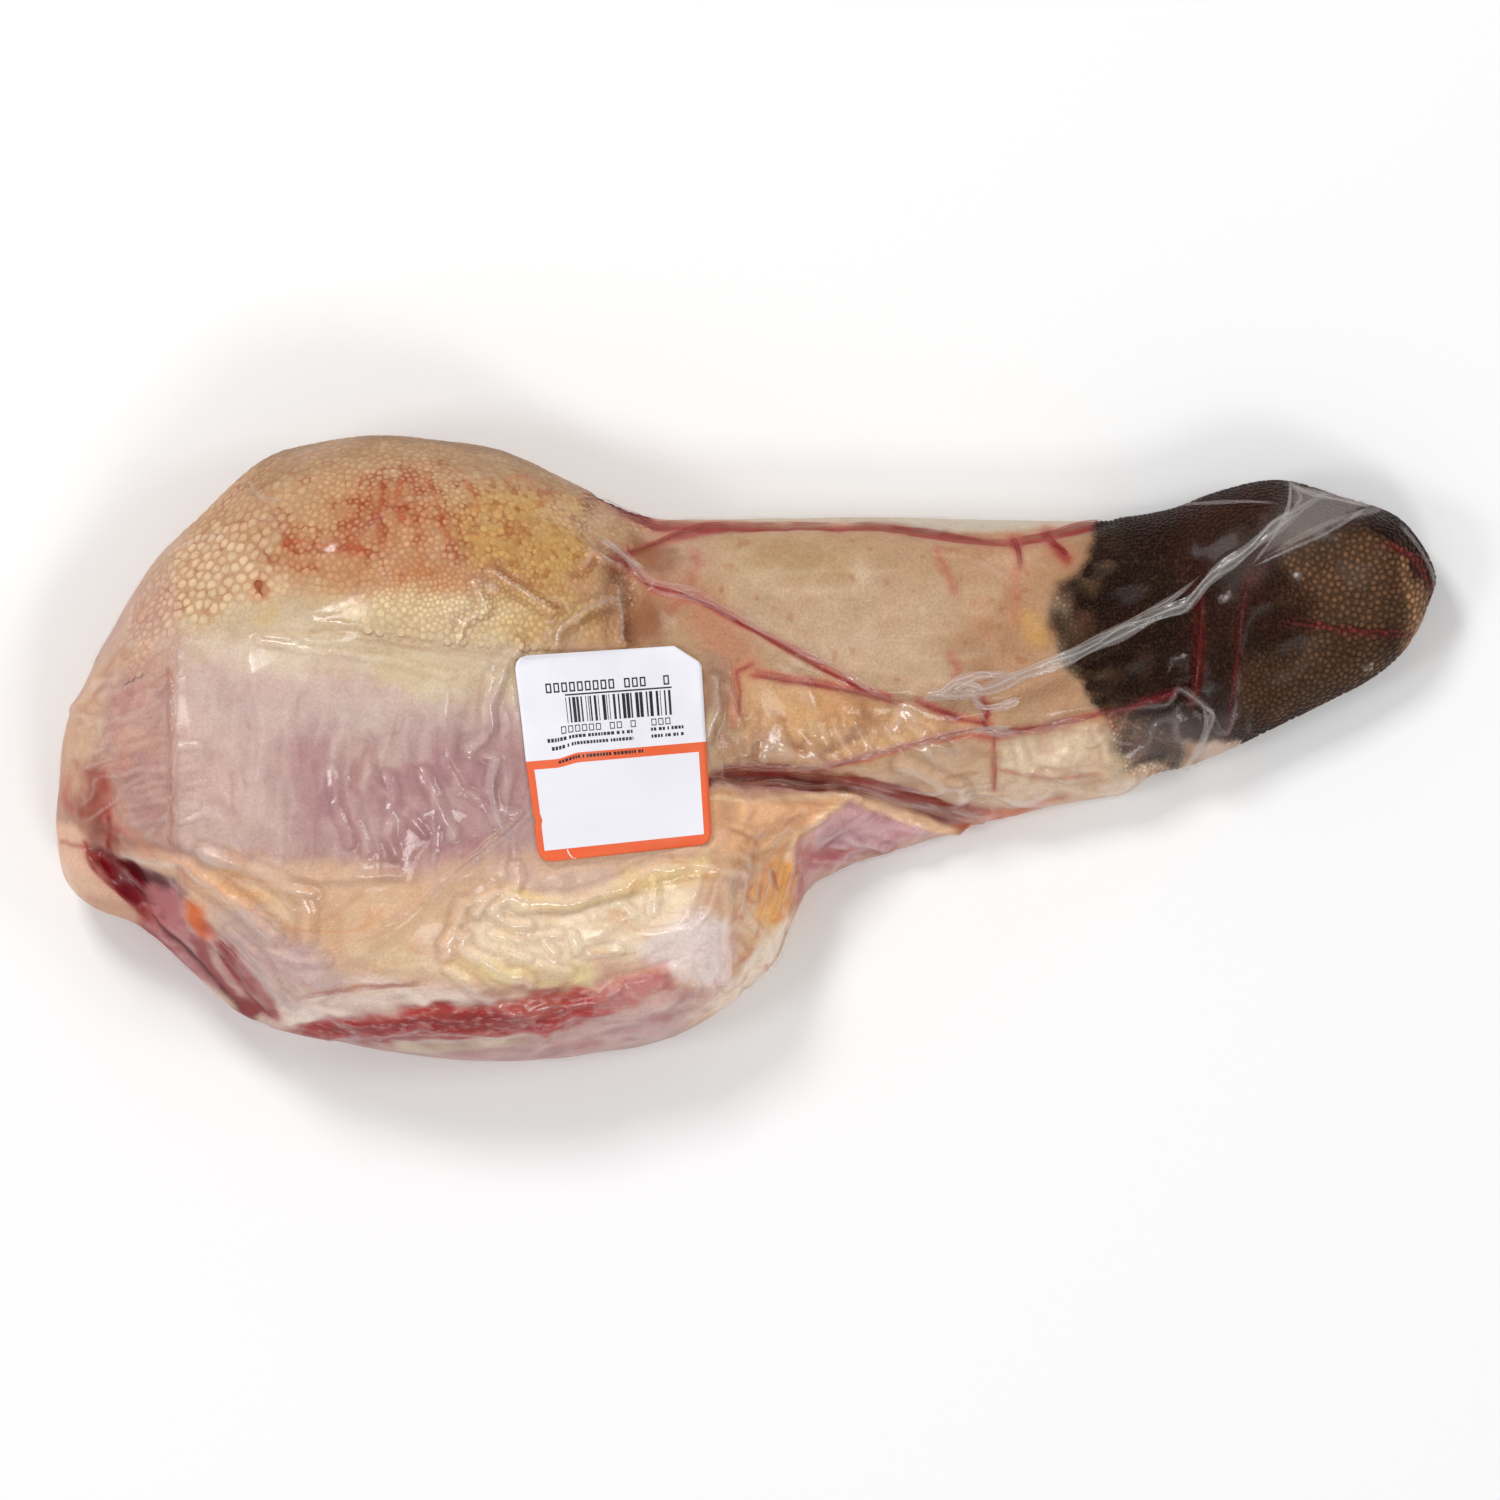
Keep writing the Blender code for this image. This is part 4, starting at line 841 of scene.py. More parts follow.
# %% Relief
FURROWS = [
    # width mm, depth mm (below 0 for a raised fold), line
    (1.6, 1.2, [(-35.5, 57), (-36.5, 50), (-29.5, 43.5), (-27.5, 34.5), (-27, 26)]),
    (1.4, 1.1, [(-33.5, 59.5), (-27, 55.5), (-21, 52.5), (-6, 51.5), (12.5, 52.5), (30.5, 52), (42, 50.5),
     (58.5, 48.5), (68.5, 49.5), (84, 53)]),
    (1.1, 0.6, [(-112, 26.5), (-101.5, 26), (-89, 27.5), (-79.5, 24.5), (-56.5, 22.5), (-33.5, 21.5)]),
    (0.9, 0.5, [(-56, 40.5), (-49.5, 36), (-42.5, 32.5)]),
    (1.3, 0.9, [(-43.5, 24.5), (-41, 29), (-35.5, 32.5), (-27.5, 34.5)]),
    (1.6, 1.6, [(-9.5, -7), (7.5, -6.5), (22.5, -8.5), (35.5, -11), (51.5, -16.5)]),
    (1.2, 0.8, [(-152.5, -22.5), (-147.5, -25.5), (-143, -30.5), (-138, -39.5), (-128, -48.5),
     (-119.5, -57.5), (-111.5, -63.5)]),
    (1.0, 0.6, [(-121.5, -46), (-116, -54.5), (-112, -63)]),
    (1.2, 0.7, [(-56, -33), (-51.5, -35.5), (-37.5, -34.5), (-24.5, -30.5), (-8.5, -22)]),
    (1.0, 0.5, [(-68, -46), (-60, -50.5), (-51.5, -54), (-41, -54), (-33, -50.5)]),
    (1.4, 0.8, [(-0.5, -55.5), (4.5, -46), (6.5, -34.5), (10, -25.5), (12.5, -20.5)]),
    (1.0, 0.5, [(-102.5, -64.5), (-79.5, -60), (-56.5, -58.5), (-33.5, -54), (-18, -49)]),
    (1.0, 0.5, [(-102.5, -68.5), (-79.5, -68.5), (-47.5, -67), (-24.5, -60), (-13, -54)]),
    (1.0, 0.7, [(82.5, 8), (90.5, 9.5), (98.5, 13), (102, 10.5)]),
    (0.9, 0.5, [(122, 29), (135.5, 27), (154, 26.5)]),
    (0.9, 0.5, [(104, 36.5), (104.5, 25), (103, 13)]),
    (0.9, 0.5, [(118, 42.5), (114, 34.5), (113.5, 25), (111.5, 4.5)]),
    (0.9, 0.5, [(40.5, -8), (47, -11.5), (50.5, -13)]),
    (1.6, -1.1, [(-56.5, -33), (-51.5, -36), (-37.5, -34.5), (-24.5, -31), (-8, -22.5)]),
    (1.2, -0.7, [(-68, -46), (-60, -51), (-51.5, -54.5), (-41, -54.5), (-33, -51)]),
    (1.3, -1.0, [(-9.5, -8.5), (7.5, -9.5), (25, -10.5)]),
    (1.2, -1.2, [(25, -10.5), (35.5, -14), (51.5, -20)]),
    (1.2, -1.0, [(25, -10.5), (16, -16), (11.5, -21.5), (10.5, -28)]),
    (1.3, -0.8, [(-155.5, 9.5), (-147.5, 14), (-137.5, 19), (-132, 23)]),
    (1.4, -0.8, [(-132, -20), (-125.5, -23), (-112, -27.5), (-98, -30), (-79.5, -29)]),
    (1.2, -0.7, [(-43, -36), (-33.5, -33), (-24.5, -32.5), (-20, -34.5)]),
    (1.0, -0.5, [(-102.5, 25), (-79.5, 23), (-56.5, 18.5)]),
    (1.6, -0.7, [(40, -8), (45.5, -11), (51, -14.5)]),
    (1.0, -0.6, [(3, 2), (10, -0.5), (17, -3.5)]),
    (1.0, -0.6, [(12.5, 5.5), (18, 1), (24, -2)]),
    (1.0, -0.6, [(24, 6), (29, 1.5), (33, -0.5)]),
    (1.2, 0.9, [(-150, -23), (-143, -28.5), (-139.5, -34.5), (-137, -40)]),
    (1.2, 0.9, [(-122, -45), (-117.5, -54.5), (-111.5, -63)]),
]
LUMPY = [
    # height mm, size mm, outline
    (0.45, 11.0, [(-142, -23), (-96, -27.5), (-52, -29), (-10.5, -22), (10, -11.5), (12.5, -39.5),
     (7.5, -51), (-24.5, -67), (-79.5, -71.5), (-123.5, -53)]),
    (0.22, 4.0, [(-61.5, -30), (-6, -23), (12.5, -25.5), (10, -46), (-10.5, -60), (-56.5, -55.5)]),
    (0.3, 5.0, [(-158, 6.5), (-132.5, 20.5), (-132, -23), (-148.5, -23)]),
    (0.5, 6.0, [(-10.5, -7), (26, -9.5), (47, -18.5), (12.5, -32.5), (-1.5, -25.5)]),
    (0.35, 5.0, [(-8.5, -3.5), (35.5, 0), (83.5, 10), (102, -3.5), (58.5, -14), (26, -10.5)]),
]


def relief(surface, bridged=1.0):
    """Heights in mm. A film bridges the furrows, so bridged below 1 makes them shallower."""
    height = 0.25 * noise(surface.at, 14.0, 2.5) + 0.08 * noise(surface.at, 5.0, 4.5)
    for width, depth, path in FURROWS:
        height -= bridged * depth * surface.along(path, width)
    for rise, size, outline in LUMPY:
        lumps = noise(surface.at, size, 6.5) + 0.5 * noise(surface.at, size / 2, 8.5)
        height += rise * lumps * surface.cover(outline, 4.0)
    return height * (0.25 + 0.75 * surface.top)


print(len(FURROWS), "furrows and", len(LUMPY), "lumpy places")

# %% [markdown]
# ## Wrinkles
#
# Shrunk film wrinkles, and it presses its wrinkles into the soft fat below. A wrinkle is drawn
# where a stretched noise crosses zero, which gives long wandering ridges with a sharp crest. Each
# row below says which way the wrinkles run and how far apart and how high they are. A clear
# film turns milky where it is creased, so each ridge also adds milk along its crest: partly the
# whitening of creased film, partly a painted highlight.

# %% Wrinkles
WRINKLES = [
    # direction deg, apart mm, long mm, height mm, milk, outline
    (84, 4.2, 26, 0.28, 0.16, [(-98, 6.5), (-70.5, 13.5), (-53, 20.5), (-50, -25.5), (-75, -31.5),
     (-98, -25.5)]),
    (95, 6.5, 40, 0.10, 0.05, [(-130, 23), (-102.5, 23), (-96, -25.5), (-130, -28)]),
    (80, 3.0, 22, 0.30, 0.20, [(-62, 21.5), (-51.5, 21.5), (-49.5, -28), (-60, -28)]),
    (35, 8.0, 45, 0.15, 0.06, [(-125.5, -23), (-56.5, -11.5), (-46.5, -34.5), (-116.5, -55.5)]),
    (12, 4.4, 18, 0.20, 0.10, [(-61.5, -29), (-6, -23), (-1.5, -48.5), (-56.5, -54.5)]),
    (20, 3.2, 20, 0.34, 0.20, [(-155.5, 23), (-132, 25), (-132, -23), (-151, -23)]),
    (112, 4.6, 17, 0.55, 0.26, [(-7, 13.5), (49, 13.5), (59.5, -3.5), (-7, -9.5)]),
    (-18, 3.8, 20, 0.46, 0.24, [(26, -7), (86, -1.5), (102, -3.5), (81.5, -15), (40, -22)]),
    (24, 4.2, 20, 0.45, 0.24, [(-9.5, -9.5), (49, -18.5), (12.5, -36), (-10.5, -25.5)]),
    (62, 4.6, 24, 0.55, 0.22, [(82.5, 7.5), (113.5, 11.5), (113.5, -6), (82.5, -6.5)]),
    (-42, 3.8, 22, 0.40, 0.14, [(-144, -25.5), (-96, -34.5), (-102.5, -66), (-139.5, -46)]),
    (6, 3.6, 24, 0.34, 0.15, [(-109.5, -54.5), (-10.5, -46), (-6, -74), (-102.5, -74)]),
    (70, 4.0, 20, 0.40, 0.26, [(-13, -30), (14.5, -23), (12.5, -53), (-13, -60)]),
    (92, 5.0, 27, 0.20, 0.10, [(60.5, 5.5), (83.5, 11.5), (86, -9.5), (60.5, -11.5)]),
    (150, 7.0, 44, 0.12, 0.05, [(-22, 50.5), (70, 48), (70, 13.5), (-22, 23)]),
    (20, 9.0, 51, 0.12, 0.08, [(-144, 71), (-24.5, 71), (-24.5, 20.5), (-144, 20.5)]),
]
UNDER_WRINKLES = (10, 8.0, 30, 0.35, 0.14)            # the same numbers for the underside
MILK_COLOUR = (226, 212, 206)
# The film is flat under the label, whose corners lie here, in mm, from the upper left one round.
LABEL_CORNERS = ((-53.2, 21.2), (-10.6, 24.1), (-7.8, -21.8), (-47.4, -26.0))


def ridges(place, direction, apart, long, shift):
    """Sharp wandering ridges and the hollows beside them, from 0 to 1."""
    turn = math.radians(direction)
    way = np.array(((math.cos(turn), math.sin(turn), 0), (-math.sin(turn), math.cos(turn), 0), (0, 0, 1)))
    turned = place @ way.T
    turned[:, 1] += 1.6 * noise(place, 8.0, shift)
    wave = noise(turned, np.array((long, apart, apart * 2)), shift)
    shown = ease(0.6 + 0.9 * noise(place, 7.0, shift + 5))
    return shown * np.exp(-(wave / 0.17) ** 2), shown * np.exp(-((np.abs(wave) - 0.34) / 0.14) ** 2)


def wrinkled(surface):
    """Height of the wrinkles in mm, milkiness, how much each place is creased, and hollows for painted
    shade.
    """
    height = np.zeros(len(surface.at))
    milky = np.zeros(len(surface.at))
    creased = np.zeros(len(surface.at))
    hollow = np.zeros(len(surface.at))
    under_label = surface.cover(list(LABEL_CORNERS), 2.0, 0.0) * surface.top
    for n, (direction, apart, long, rise, milk_here, outline) in enumerate(WRINKLES):
        here = surface.cover(outline, 6.0, 2.0) * surface.top * (1 - under_label)
        spots = np.flatnonzero(here)
        place = surface.at[spots]
        crest, beside = ridges(place, direction, apart, long, 1.3 + 2.1 * n)
        small, _ = ridges(place, direction + 14, 0.5 * apart, 0.4 * long, 2.4 + 1.7 * n)
        hollow[spots] = np.maximum(hollow[spots], beside * here[spots] * min(1.0, 2.2 * rise))
        height[spots] += rise * (crest + 0.3 * small) * here[spots]
        milky[spots] = np.maximum(milky[spots], milk_here * crest ** 2 * here[spots])
        strong = here[spots] * min(1.0, 2.2 * rise)
        creased[spots] = np.maximum(creased[spots], strong * (0.2 + 0.8 * crest))
    direction, apart, long, rise, milk_here = UNDER_WRINKLES
    spots = np.flatnonzero(surface.top < 1)
    crest = ridges(surface.at[spots], direction, apart, long, 40.7)[0] * (1 - surface.top[spots])
    height[spots] += rise * crest
    milky[spots] = np.maximum(milky[spots], milk_here * crest)
    return height, milky, creased, hollow


print(len(WRINKLES), "kinds of wrinkles")

# %% [markdown]
# ## Folds that are drawn one by one
#
# Noise can't place the folds that catch the eye: the loops in the fat, the puckers beside the
# upright pleat, the ripples of the belly. These are drawn as lines. Each raises a soft ridge, and
# the meat gets a painted highlight on its crest and painted shade in the hollow beside it.

# %% Folds
FOLDS = [
    # width mm, height mm, line
    (1.1, 0.7, [(-94.5, -4), (-93, -13), (-90.5, -21)]),
    (1.0, 0.5, [(-91, -5.5), (-89, -1.5), (-87.5, 0)]),
    (1.1, 0.7, [(-90.5, -10.5), (-88, -19.5), (-86.5, -23.5)]),
    (1.2, 0.7, [(-82, -6), (-80.5, -13), (-81.5, -19.5), (-80, -24)]),
    (1.0, 0.6, [(-85, -8), (-76.5, -16), (-73.5, -19.5)]),
    (1.2, 0.7, [(-73.5, -5.5), (-70, -13), (-67, -19.5)]),
    (1.0, 0.5, [(-68.5, -3), (-65, -9.5)]),
    (1.3, 0.9, [(-63.5, 0), (-60, 2), (-58, 5), (-58.5, 10), (-56, 16.5)]),
    (1.2, 0.9, [(-60, -1.5), (-57, -3), (-58, -9.5), (-56, -17.5)]),
    (1.0, 0.6, [(-63.5, -9.5), (-58.5, -13), (-52, -14.5)]),
    (1.1, 0.7, [(-58.5, 16.5), (-59.5, 10), (-60, 2)]),
    (1.0, 0.5, [(-57, 20), (-52, 25)]),
    (0.8, 0.4, [(-144.5, -5.5), (-133, -4)]),
    (0.8, 0.4, [(-142, -8.5), (-132, -7.5)]),
    (0.8, 0.4, [(-143.5, -13), (-132.5, -11.5)]),
    (0.8, 0.4, [(-140.5, -17), (-132, -15.5)]),
    (0.8, 0.4, [(-145, 0), (-133.5, 2)]),
    (0.8, 0.4, [(-147, 5.5), (-135.5, 10)]),
    (0.8, 0.4, [(-148.5, 11.5), (-137, 16)]),
    (0.7, 0.35, [(-129.5, -5), (-125, -4)]),
    (0.7, 0.35, [(-129, -8.5), (-124, -7)]),
    (0.7, 0.35, [(-129, -12), (-125.5, -13)]),
    (0.7, 0.35, [(-129, -16.5), (-125, -15.5)]),
    (0.7, 0.35, [(-129.5, 0), (-124.5, 1)]),
    (1.5, 1.1, [(-58, -37), (-55.5, -33.5), (-51.5, -35), (-40, -34.5), (-28, -31.5), (-21, -27.5),
     (-9, -27), (-1, -29)]),
    (1.2, 0.9, [(-62, -37.5), (-58, -32.5), (-53, -32), (-52, -29.5), (-52.5, -27.5)]),
    (1.2, 0.8, [(-58, -37), (-56, -39), (-53, -40), (-50.5, -40)]),
    (1.3, 0.9, [(-69, -44.5), (-67, -42.5), (-64.5, -43.5), (-65, -45.5), (-62, -47.5), (-55, -51.5),
     (-50, -53.5)]),
    (1.2, 0.7, [(-67.5, -50.5), (-64.5, -52.5), (-56.5, -58.5), (-53, -60.5)]),
    (1.0, 0.6, [(-58, -43), (-52, -43.5)]),
    (1.0, 0.6, [(-49, -42.5), (-43, -42.5)]),
    (0.9, 0.6, [(-46, -44), (-44, -46.5)]),
    (1.0, 0.6, [(-55, -46.5), (-50.5, -48.5)]),
    (1.0, 0.6, [(-40, -42.5), (-38, -46.5)]),
    (0.9, 0.5, [(-29, -35.5), (-26, -37.5)]),
    (1.0, 0.6, [(-36, -47.5), (-29, -46)]),
    (1.0, 0.5, [(-47.5, -49.5), (-40.5, -51.5)]),
    (1.0, 0.6, [(-21, -28.5), (-21.5, -32.5), (-21.5, -36.5)]),
    (1.1, 0.7, [(-18.5, -28.5), (-5, -27.5), (0, -29.5)]),
    (1.0, 0.6, [(-4, -31.5), (-4, -37.5), (-4.5, -44.5), (-4.5, -54.5)]),
    (0.9, 0.5, [(-13, -41.5), (-10.5, -40), (-7, -42.5)]),
    (1.8, 0.8, [(-143.5, -24), (-129.5, -26.5), (-116, -35.5), (-109, -42.5)]),
    (1.5, 0.7, [(-124, -24), (-111, -29), (-99.5, -33.5)]),
    (1.4, 0.6, [(-102.5, -32.5), (-100, -37.5), (-101, -44)]),
    (1.3, 0.7, [(-68.5, -47), (-67, -42.5), (-65, -35.5), (-60, -34)]),
    (0.9, 0.6, [(17.5, 5), (19, 0.5)]),
    (0.9, 0.6, [(20, 6), (24, -1.5)]),
    (0.9, 0.6, [(25, 6), (27.5, 0.5)]),
    (1.0, 0.6, [(31.5, 6), (34, 3), (41.5, -1.5)]),
    (0.9, 0.5, [(4.5, 3), (10, -1.5)]),
    (0.9, 0.5, [(0, -1.5), (2, 1.5)]),
    (0.9, 0.6, [(37, 5), (40.5, 3), (47, -0.5)]),
    (0.9, 0.5, [(42.5, 5), (49, 0.5)]),
    (1.4, 1.0, [(36, -3.5), (42.5, -7), (49, -9), (50.5, -12)]),
    (1.0, 0.6, [(62, 3), (64.5, -5), (76, -7)]),
    (0.9, 0.5, [(80.5, 5), (84, -3.5)]),
    (1.1, 0.7, [(-7.5, 16), (-6.5, 9.5), (-8.5, 3)]),
    (1.0, 0.6, [(-5, 14.5), (-2, 6)]),
    (1.2, 0.9, [(-8, -8), (9, -9.5), (25, -11)]),
    (0.9, 0.6, [(10.5, -6), (17.5, -7), (24, -9)]),
    (1.1, 0.8, [(23, -8), (36, -12.5), (56.5, -15.5)]),
    (0.9, 0.5, [(-4, -16.5), (3, -20), (10, -18.5)]),
    (0.9, 0.5, [(-0.5, -23), (5.5, -22), (9, -17.5)]),
    (1.0, 0.6, [(13, -17.5), (17, -15.5)]),
    (1.0, 0.7, [(22, -19.5), (26, -21.5)]),
    (1.0, 0.7, [(27, -21.5), (33, -23.5)]),
    (1.0, 0.6, [(19, -21.5), (23, -22.5)]),
    (1.0, 0.6, [(15, -25.5), (27, -26.5)]),
    (1.2, 0.7, [(-58.5, 40.5), (-50.5, 36), (-44.5, 32)]),
    (1.3, 0.9, [(-43.5, 24), (-42, 28.5), (-36, 32.5), (-29, 34.5)]),
    (1.1, 0.7, [(-37.5, 41.5), (-35, 45), (-29, 42)]),
    (1.4, 1.0, [(-29.5, 36.5), (-29, 25)]),
    (1.2, 0.7, [(-66, 25), (-64.5, 29), (-60, 32), (-62, 38)]),
    (1.2, 0.7, [(-56.5, 15.5), (-55, 20), (-51.5, 24)]),
    (0.7, 0.35, [(-110, 26.5), (-101, 26), (-98.5, 29), (-89, 28.5), (-67, 25)]),
    (0.7, 0.35, [(-88, 26), (-75.5, 24), (-54, 20.5)]),
    (0.7, 0.35, [(-111.5, 25), (-99.5, 22.5), (-84, 20.5), (-67, 17)]),
    (0.9, 0.6, [(83, 8.5), (96.5, 10.5), (99.5, 14)]),
    (1.0, 0.7, [(99.5, 14), (107, 9.5), (105.5, 4), (102, -4)]),
    (0.9, 0.6, [(107, 9.5), (108.5, 4), (111, 4), (113, 8.5)]),
    (0.8, 0.5, [(85.5, 7.5), (95.5, 2.5), (99.5, 10.5)]),
    (1.0, 0.5, [(-10.5, -48.5), (-8, -54.5), (-9.5, -59)]),
    (0.9, 0.5, [(-0.5, -38), (4.5, -43), (5.5, -48.5)]),
    (0.9, 0.5, [(-2.5, -45), (2, -49.5), (1, -55.5)]),
    (1.0, 0.6, [(-96, -67), (-75, -64.5), (-56.5, -66)]),
    (0.9, 0.5, [(-43, -60), (-33.5, -57.5), (-29, -54.5)]),
    (0.9, 0.5, [(-52, -60), (-46.5, -66)]),
    (1.0, 0.6, [(-118.5, -41.5), (-111.5, -48.5), (-107.5, -57.5)]),
    (0.9, 0.5, [(-109.5, -46), (-102.5, -49.5), (-96, -48.5)]),
]


def folded(surface):
    """Height of the drawn folds in mm, their crests and hollows, for a painted highlight and painted shade.
    """
    height, crest, hollow = np.zeros((3, len(surface.at)))
    for width, rise, path in FOLDS:
        spots = surface.near(path, 4 * width)
        gap = line_distance(surface.at[spots, :2] + 0.6 * surface.ragged[spots], path) / width
        top = surface.top[spots] * min(1.0, rise / 0.8)
        height[spots] = np.maximum(height[spots], rise * np.exp(-gap ** 2) * surface.top[spots])
        crest[spots] = np.maximum(crest[spots], np.exp(-(gap / 0.6) ** 2) * top)
        hollow[spots] = np.maximum(hollow[spots], np.exp(-((gap - 1.7) / 0.6) ** 2) * top)
    return height, crest, hollow * (1 - crest)


print(len(FOLDS), "folds")

# %% [markdown]
# ## Relief on the meat
#
# The soft meat takes most of the height of each wrinkle and fold. Less light reaches the hollow
# beside a wrinkle, and more reaches its crest. Both are also painted into the meat's colour, as
# painted shade in the hollow and a painted highlight on the crest, because the gloss of the film
# would hide much of the shape.

# %% Press the relief into the meat
FILM_OVER_MEAT = 0.6                  # mm between the film's surface and the meat
PRESSED = 0.8                         # part of a wrinkle's height that the meat takes
HOLLOW_SHADE = 0.32                   # light that is lost in the hollow beside a wrinkle
HOLLOW_TINT = (0.8, 1.0, 1.0)         # the hollow keeps a little more of its red
FOLD_HIGHLIGHT, WRINKLE_HIGHLIGHT = 0.22, 0.16  # how much lighter the crests are
LIGHTEST = 0.93                       # crests aren't made lighter than this
pressed, _, creases, hollow = wrinkled(skin)
fold_height, fold_crest, fold_hollow = folded(skin)
skin_relief = relief(skin) + PRESSED * np.maximum(pressed, fold_height)
hollow = np.maximum(hollow, 0.8 * fold_hollow)
# Painted shade in the hollows beside the wrinkles and folds.
skin.colour *= 1 - HOLLOW_SHADE * hollow[:, None] * np.array(HOLLOW_TINT)
# A painted highlight on the crests of the wrinkles and folds.
crest_highlight = 1 + np.maximum(FOLD_HIGHLIGHT * fold_crest, WRINKLE_HIGHLIGHT * creases)
crest_highlight = np.minimum(crest_highlight, np.maximum(LIGHTEST / skin.colour.max(axis=1), 1))
skin.colour *= crest_highlight[:, None]
skin.at = skin.at + skin.out * (skin_relief - FILM_OVER_MEAT)[:, None]
print("relief on the meat from", round(skin_relief.min(), 2), "to", round(skin_relief.max(), 2), "mm")

# %% [markdown]
# ## Pebbles and papillae
#
# The hump's skin is packed with flat pebbles: 2 to 3 mm wide at the left, about 1 mm at the
# right. The dark tip is covered by small round papillae. A particle system would scatter them,
# but particles are lost when the model leaves Blender. They are joined into one mesh from
# arrays instead. Points of the net are drawn one by one, and a point stays if no kept one is
# nearer than its own gap. Each pebble then reaches halfway to its neighbours, which packs them
# like cobbles.

# %% Scatter points
draw = np.random.default_rng(21)


def scattered(spots, gaps):
    """The spots of the skin that keep their gap from each other."""
    side = gaps.max()
    buckets = {}
    kept = []
    order = draw.permutation(len(spots))
    cells = np.floor(skin.at[spots] / side).astype(int)
    for n in order:
        here = skin.at[spots[n]]
        cell = cells[n]
        free = True
        for step in itertools.product((-1, 0, 1), repeat=3):
            for other in buckets.get((cell[0] + step[0], cell[1] + step[1], cell[2] + step[2]), ()):
                gap = here - other
                if gap[0] * gap[0] + gap[1] * gap[1] + gap[2] * gap[2] < gaps[n] * gaps[n]:
                    free = False
                    break
            if not free:
                break
        if free:
            buckets.setdefault(tuple(cell), []).append(here)
            kept.append(n)
    return np.array(kept)


def domes(centres, out, gaps, heights, corners, fill):
    """Joined low domes, each reaching part of the way to its neighbours. Returns points, faces."""
    tree = KDTree(len(centres))
    for n, centre in enumerate(centres):
        tree.insert(centre, n)
    tree.balance()
    side = np.cross(out, (0.3, 0.9, 0.1))
    side /= np.linalg.norm(side, axis=1, keepdims=True)
    other = np.cross(out, side)
    turn = np.arange(corners) * 2 * math.pi / corners
    ways = np.cos(turn)[:, None, None] * side + np.sin(turn)[:, None, None] * other
    ways = ways.transpose(1, 0, 2)
    reach = np.repeat(gaps[:, None] * 0.75, corners, axis=1)
    for n, centre in enumerate(centres):
        for _, k, _ in tree.find_n(centre, 8)[1:]:
            gap = centres[k] - centre
            toward = np.maximum(ways[n] @ gap, 1e-6)
            reach[n] = np.minimum(reach[n], 0.5 * (gap @ gap) / toward)
    reach *= fill[:, None]
    rings = [centres + out * heights[:, None]]
    # the shoulder and the foot of a dome, as parts of its reach and of its height
    for share, lift in ((0.68, 0.72), (1.0, -0.25)):
        ring = centres[:, None] + ways * (reach * share)[:, :, None]
        rings.append(ring + out[:, None] * (heights * lift)[:, None, None])
    points = np.concatenate([rings[0][:, None], rings[1], rings[2]], axis=1)
    faces = []
    for k in range(corners):
        after = (k + 1) % corners
        faces.append((0, 1 + k, 1 + after))
        faces.append((1 + k, 1 + corners + k, 1 + corners + after))
        faces.append((1 + k, 1 + corners + after, 1 + after))
    faces = np.array(faces)
    first = np.arange(len(centres)) * points.shape[1]
    return points, (faces[None] + first[:, None, None]).reshape(-1, 3)


# %% [markdown]
# Pieces are made in one place: points in mm become a mesh in metres, colours become attributes
# on its points, and the piece rides on the body of the frame and stands for its solid.

# %% Make a piece
def piece(name, points, faces, material, colours=None, stands_for="tongue", normals=None):
    """A mesh piece of the object, from points in mm."""
    mesh = bpy.data.meshes.new(name)
    mesh.from_pydata((points * MM).tolist(), [], faces.tolist())
    for key, values in (colours or {}).items():
        if values.shape[1] == 3:
            values = np.concatenate([values, np.ones((len(values), 1))], axis=1)
        layer = mesh.color_attributes.new(key, "FLOAT_COLOR", "POINT")
        layer.data.foreach_set("color", values.astype(np.float32).ravel())
    mesh.shade_smooth()
    if normals is not None:
        mesh.normals_split_custom_set_from_vertices(normals.tolist())
    mesh.materials.append(material)
    made = bpy.data.objects.new(name, mesh)
    bpy.context.collection.objects.link(made)
    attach(made, "root")
    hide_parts(stands_for)
    print(name, len(faces), "faces")
    return made


def add(tree, kind, sockets=None, **settings):
    """A node with its settings. A socket takes a value or the output of another node."""
    made = tree.nodes.new(kind)
    for key, value in settings.items():
        setattr(made, key, value)
    for key, value in (sockets or {}).items():
        if isinstance(value, bpy.types.NodeSocket):
            tree.links.new(value, made.inputs[key])
        else:
            made.inputs[key].default_value = value
    return made


def new_material(name):
    """An empty material and its nodes."""
    material = bpy.data.materials.new(name)
    material.use_nodes = True
    material.node_tree.nodes.clear()
    return material, material.node_tree


def rescale(tree, value, low, high, start=0.0, end=1.0):
    """The value, stretched from start..end to low..high."""
    return add(tree, "ShaderNodeMapRange", {"Value": value, "From Min": start, "From Max": end,
                                            "To Min": low, "To Max": high}).outputs[0]


def times(tree, a, b, operation="MULTIPLY"):
    """Two values multiplied, or joined by another operation."""
    return add(tree, "ShaderNodeMath", {0: a, 1: b}, operation=operation).outputs[0]


# %% [markdown]
# ## The meat's material
#
# The paint gives the large patches. Up close, meat also has specks of a millimetre, red muscle
# has fibres with white fat between them, and papillae catch the light, with painted shade in the
# grooves between them. The masks switch each of these on where it belongs. Wet meat is fairly
# glossy, but the film takes most of that gloss.

# %% Meat material
meat, nodes = new_material("meat")
place = add(nodes, "ShaderNodeTexCoord").outputs["Object"]
painted = add(nodes, "ShaderNodeAttribute", attribute_name="paint").outputs["Color"]
masks = add(nodes, "ShaderNodeAttribute", attribute_name="masks").outputs["Color"]
mask = add(nodes, "ShaderNodeSeparateColor", {"Color": masks}).outputs

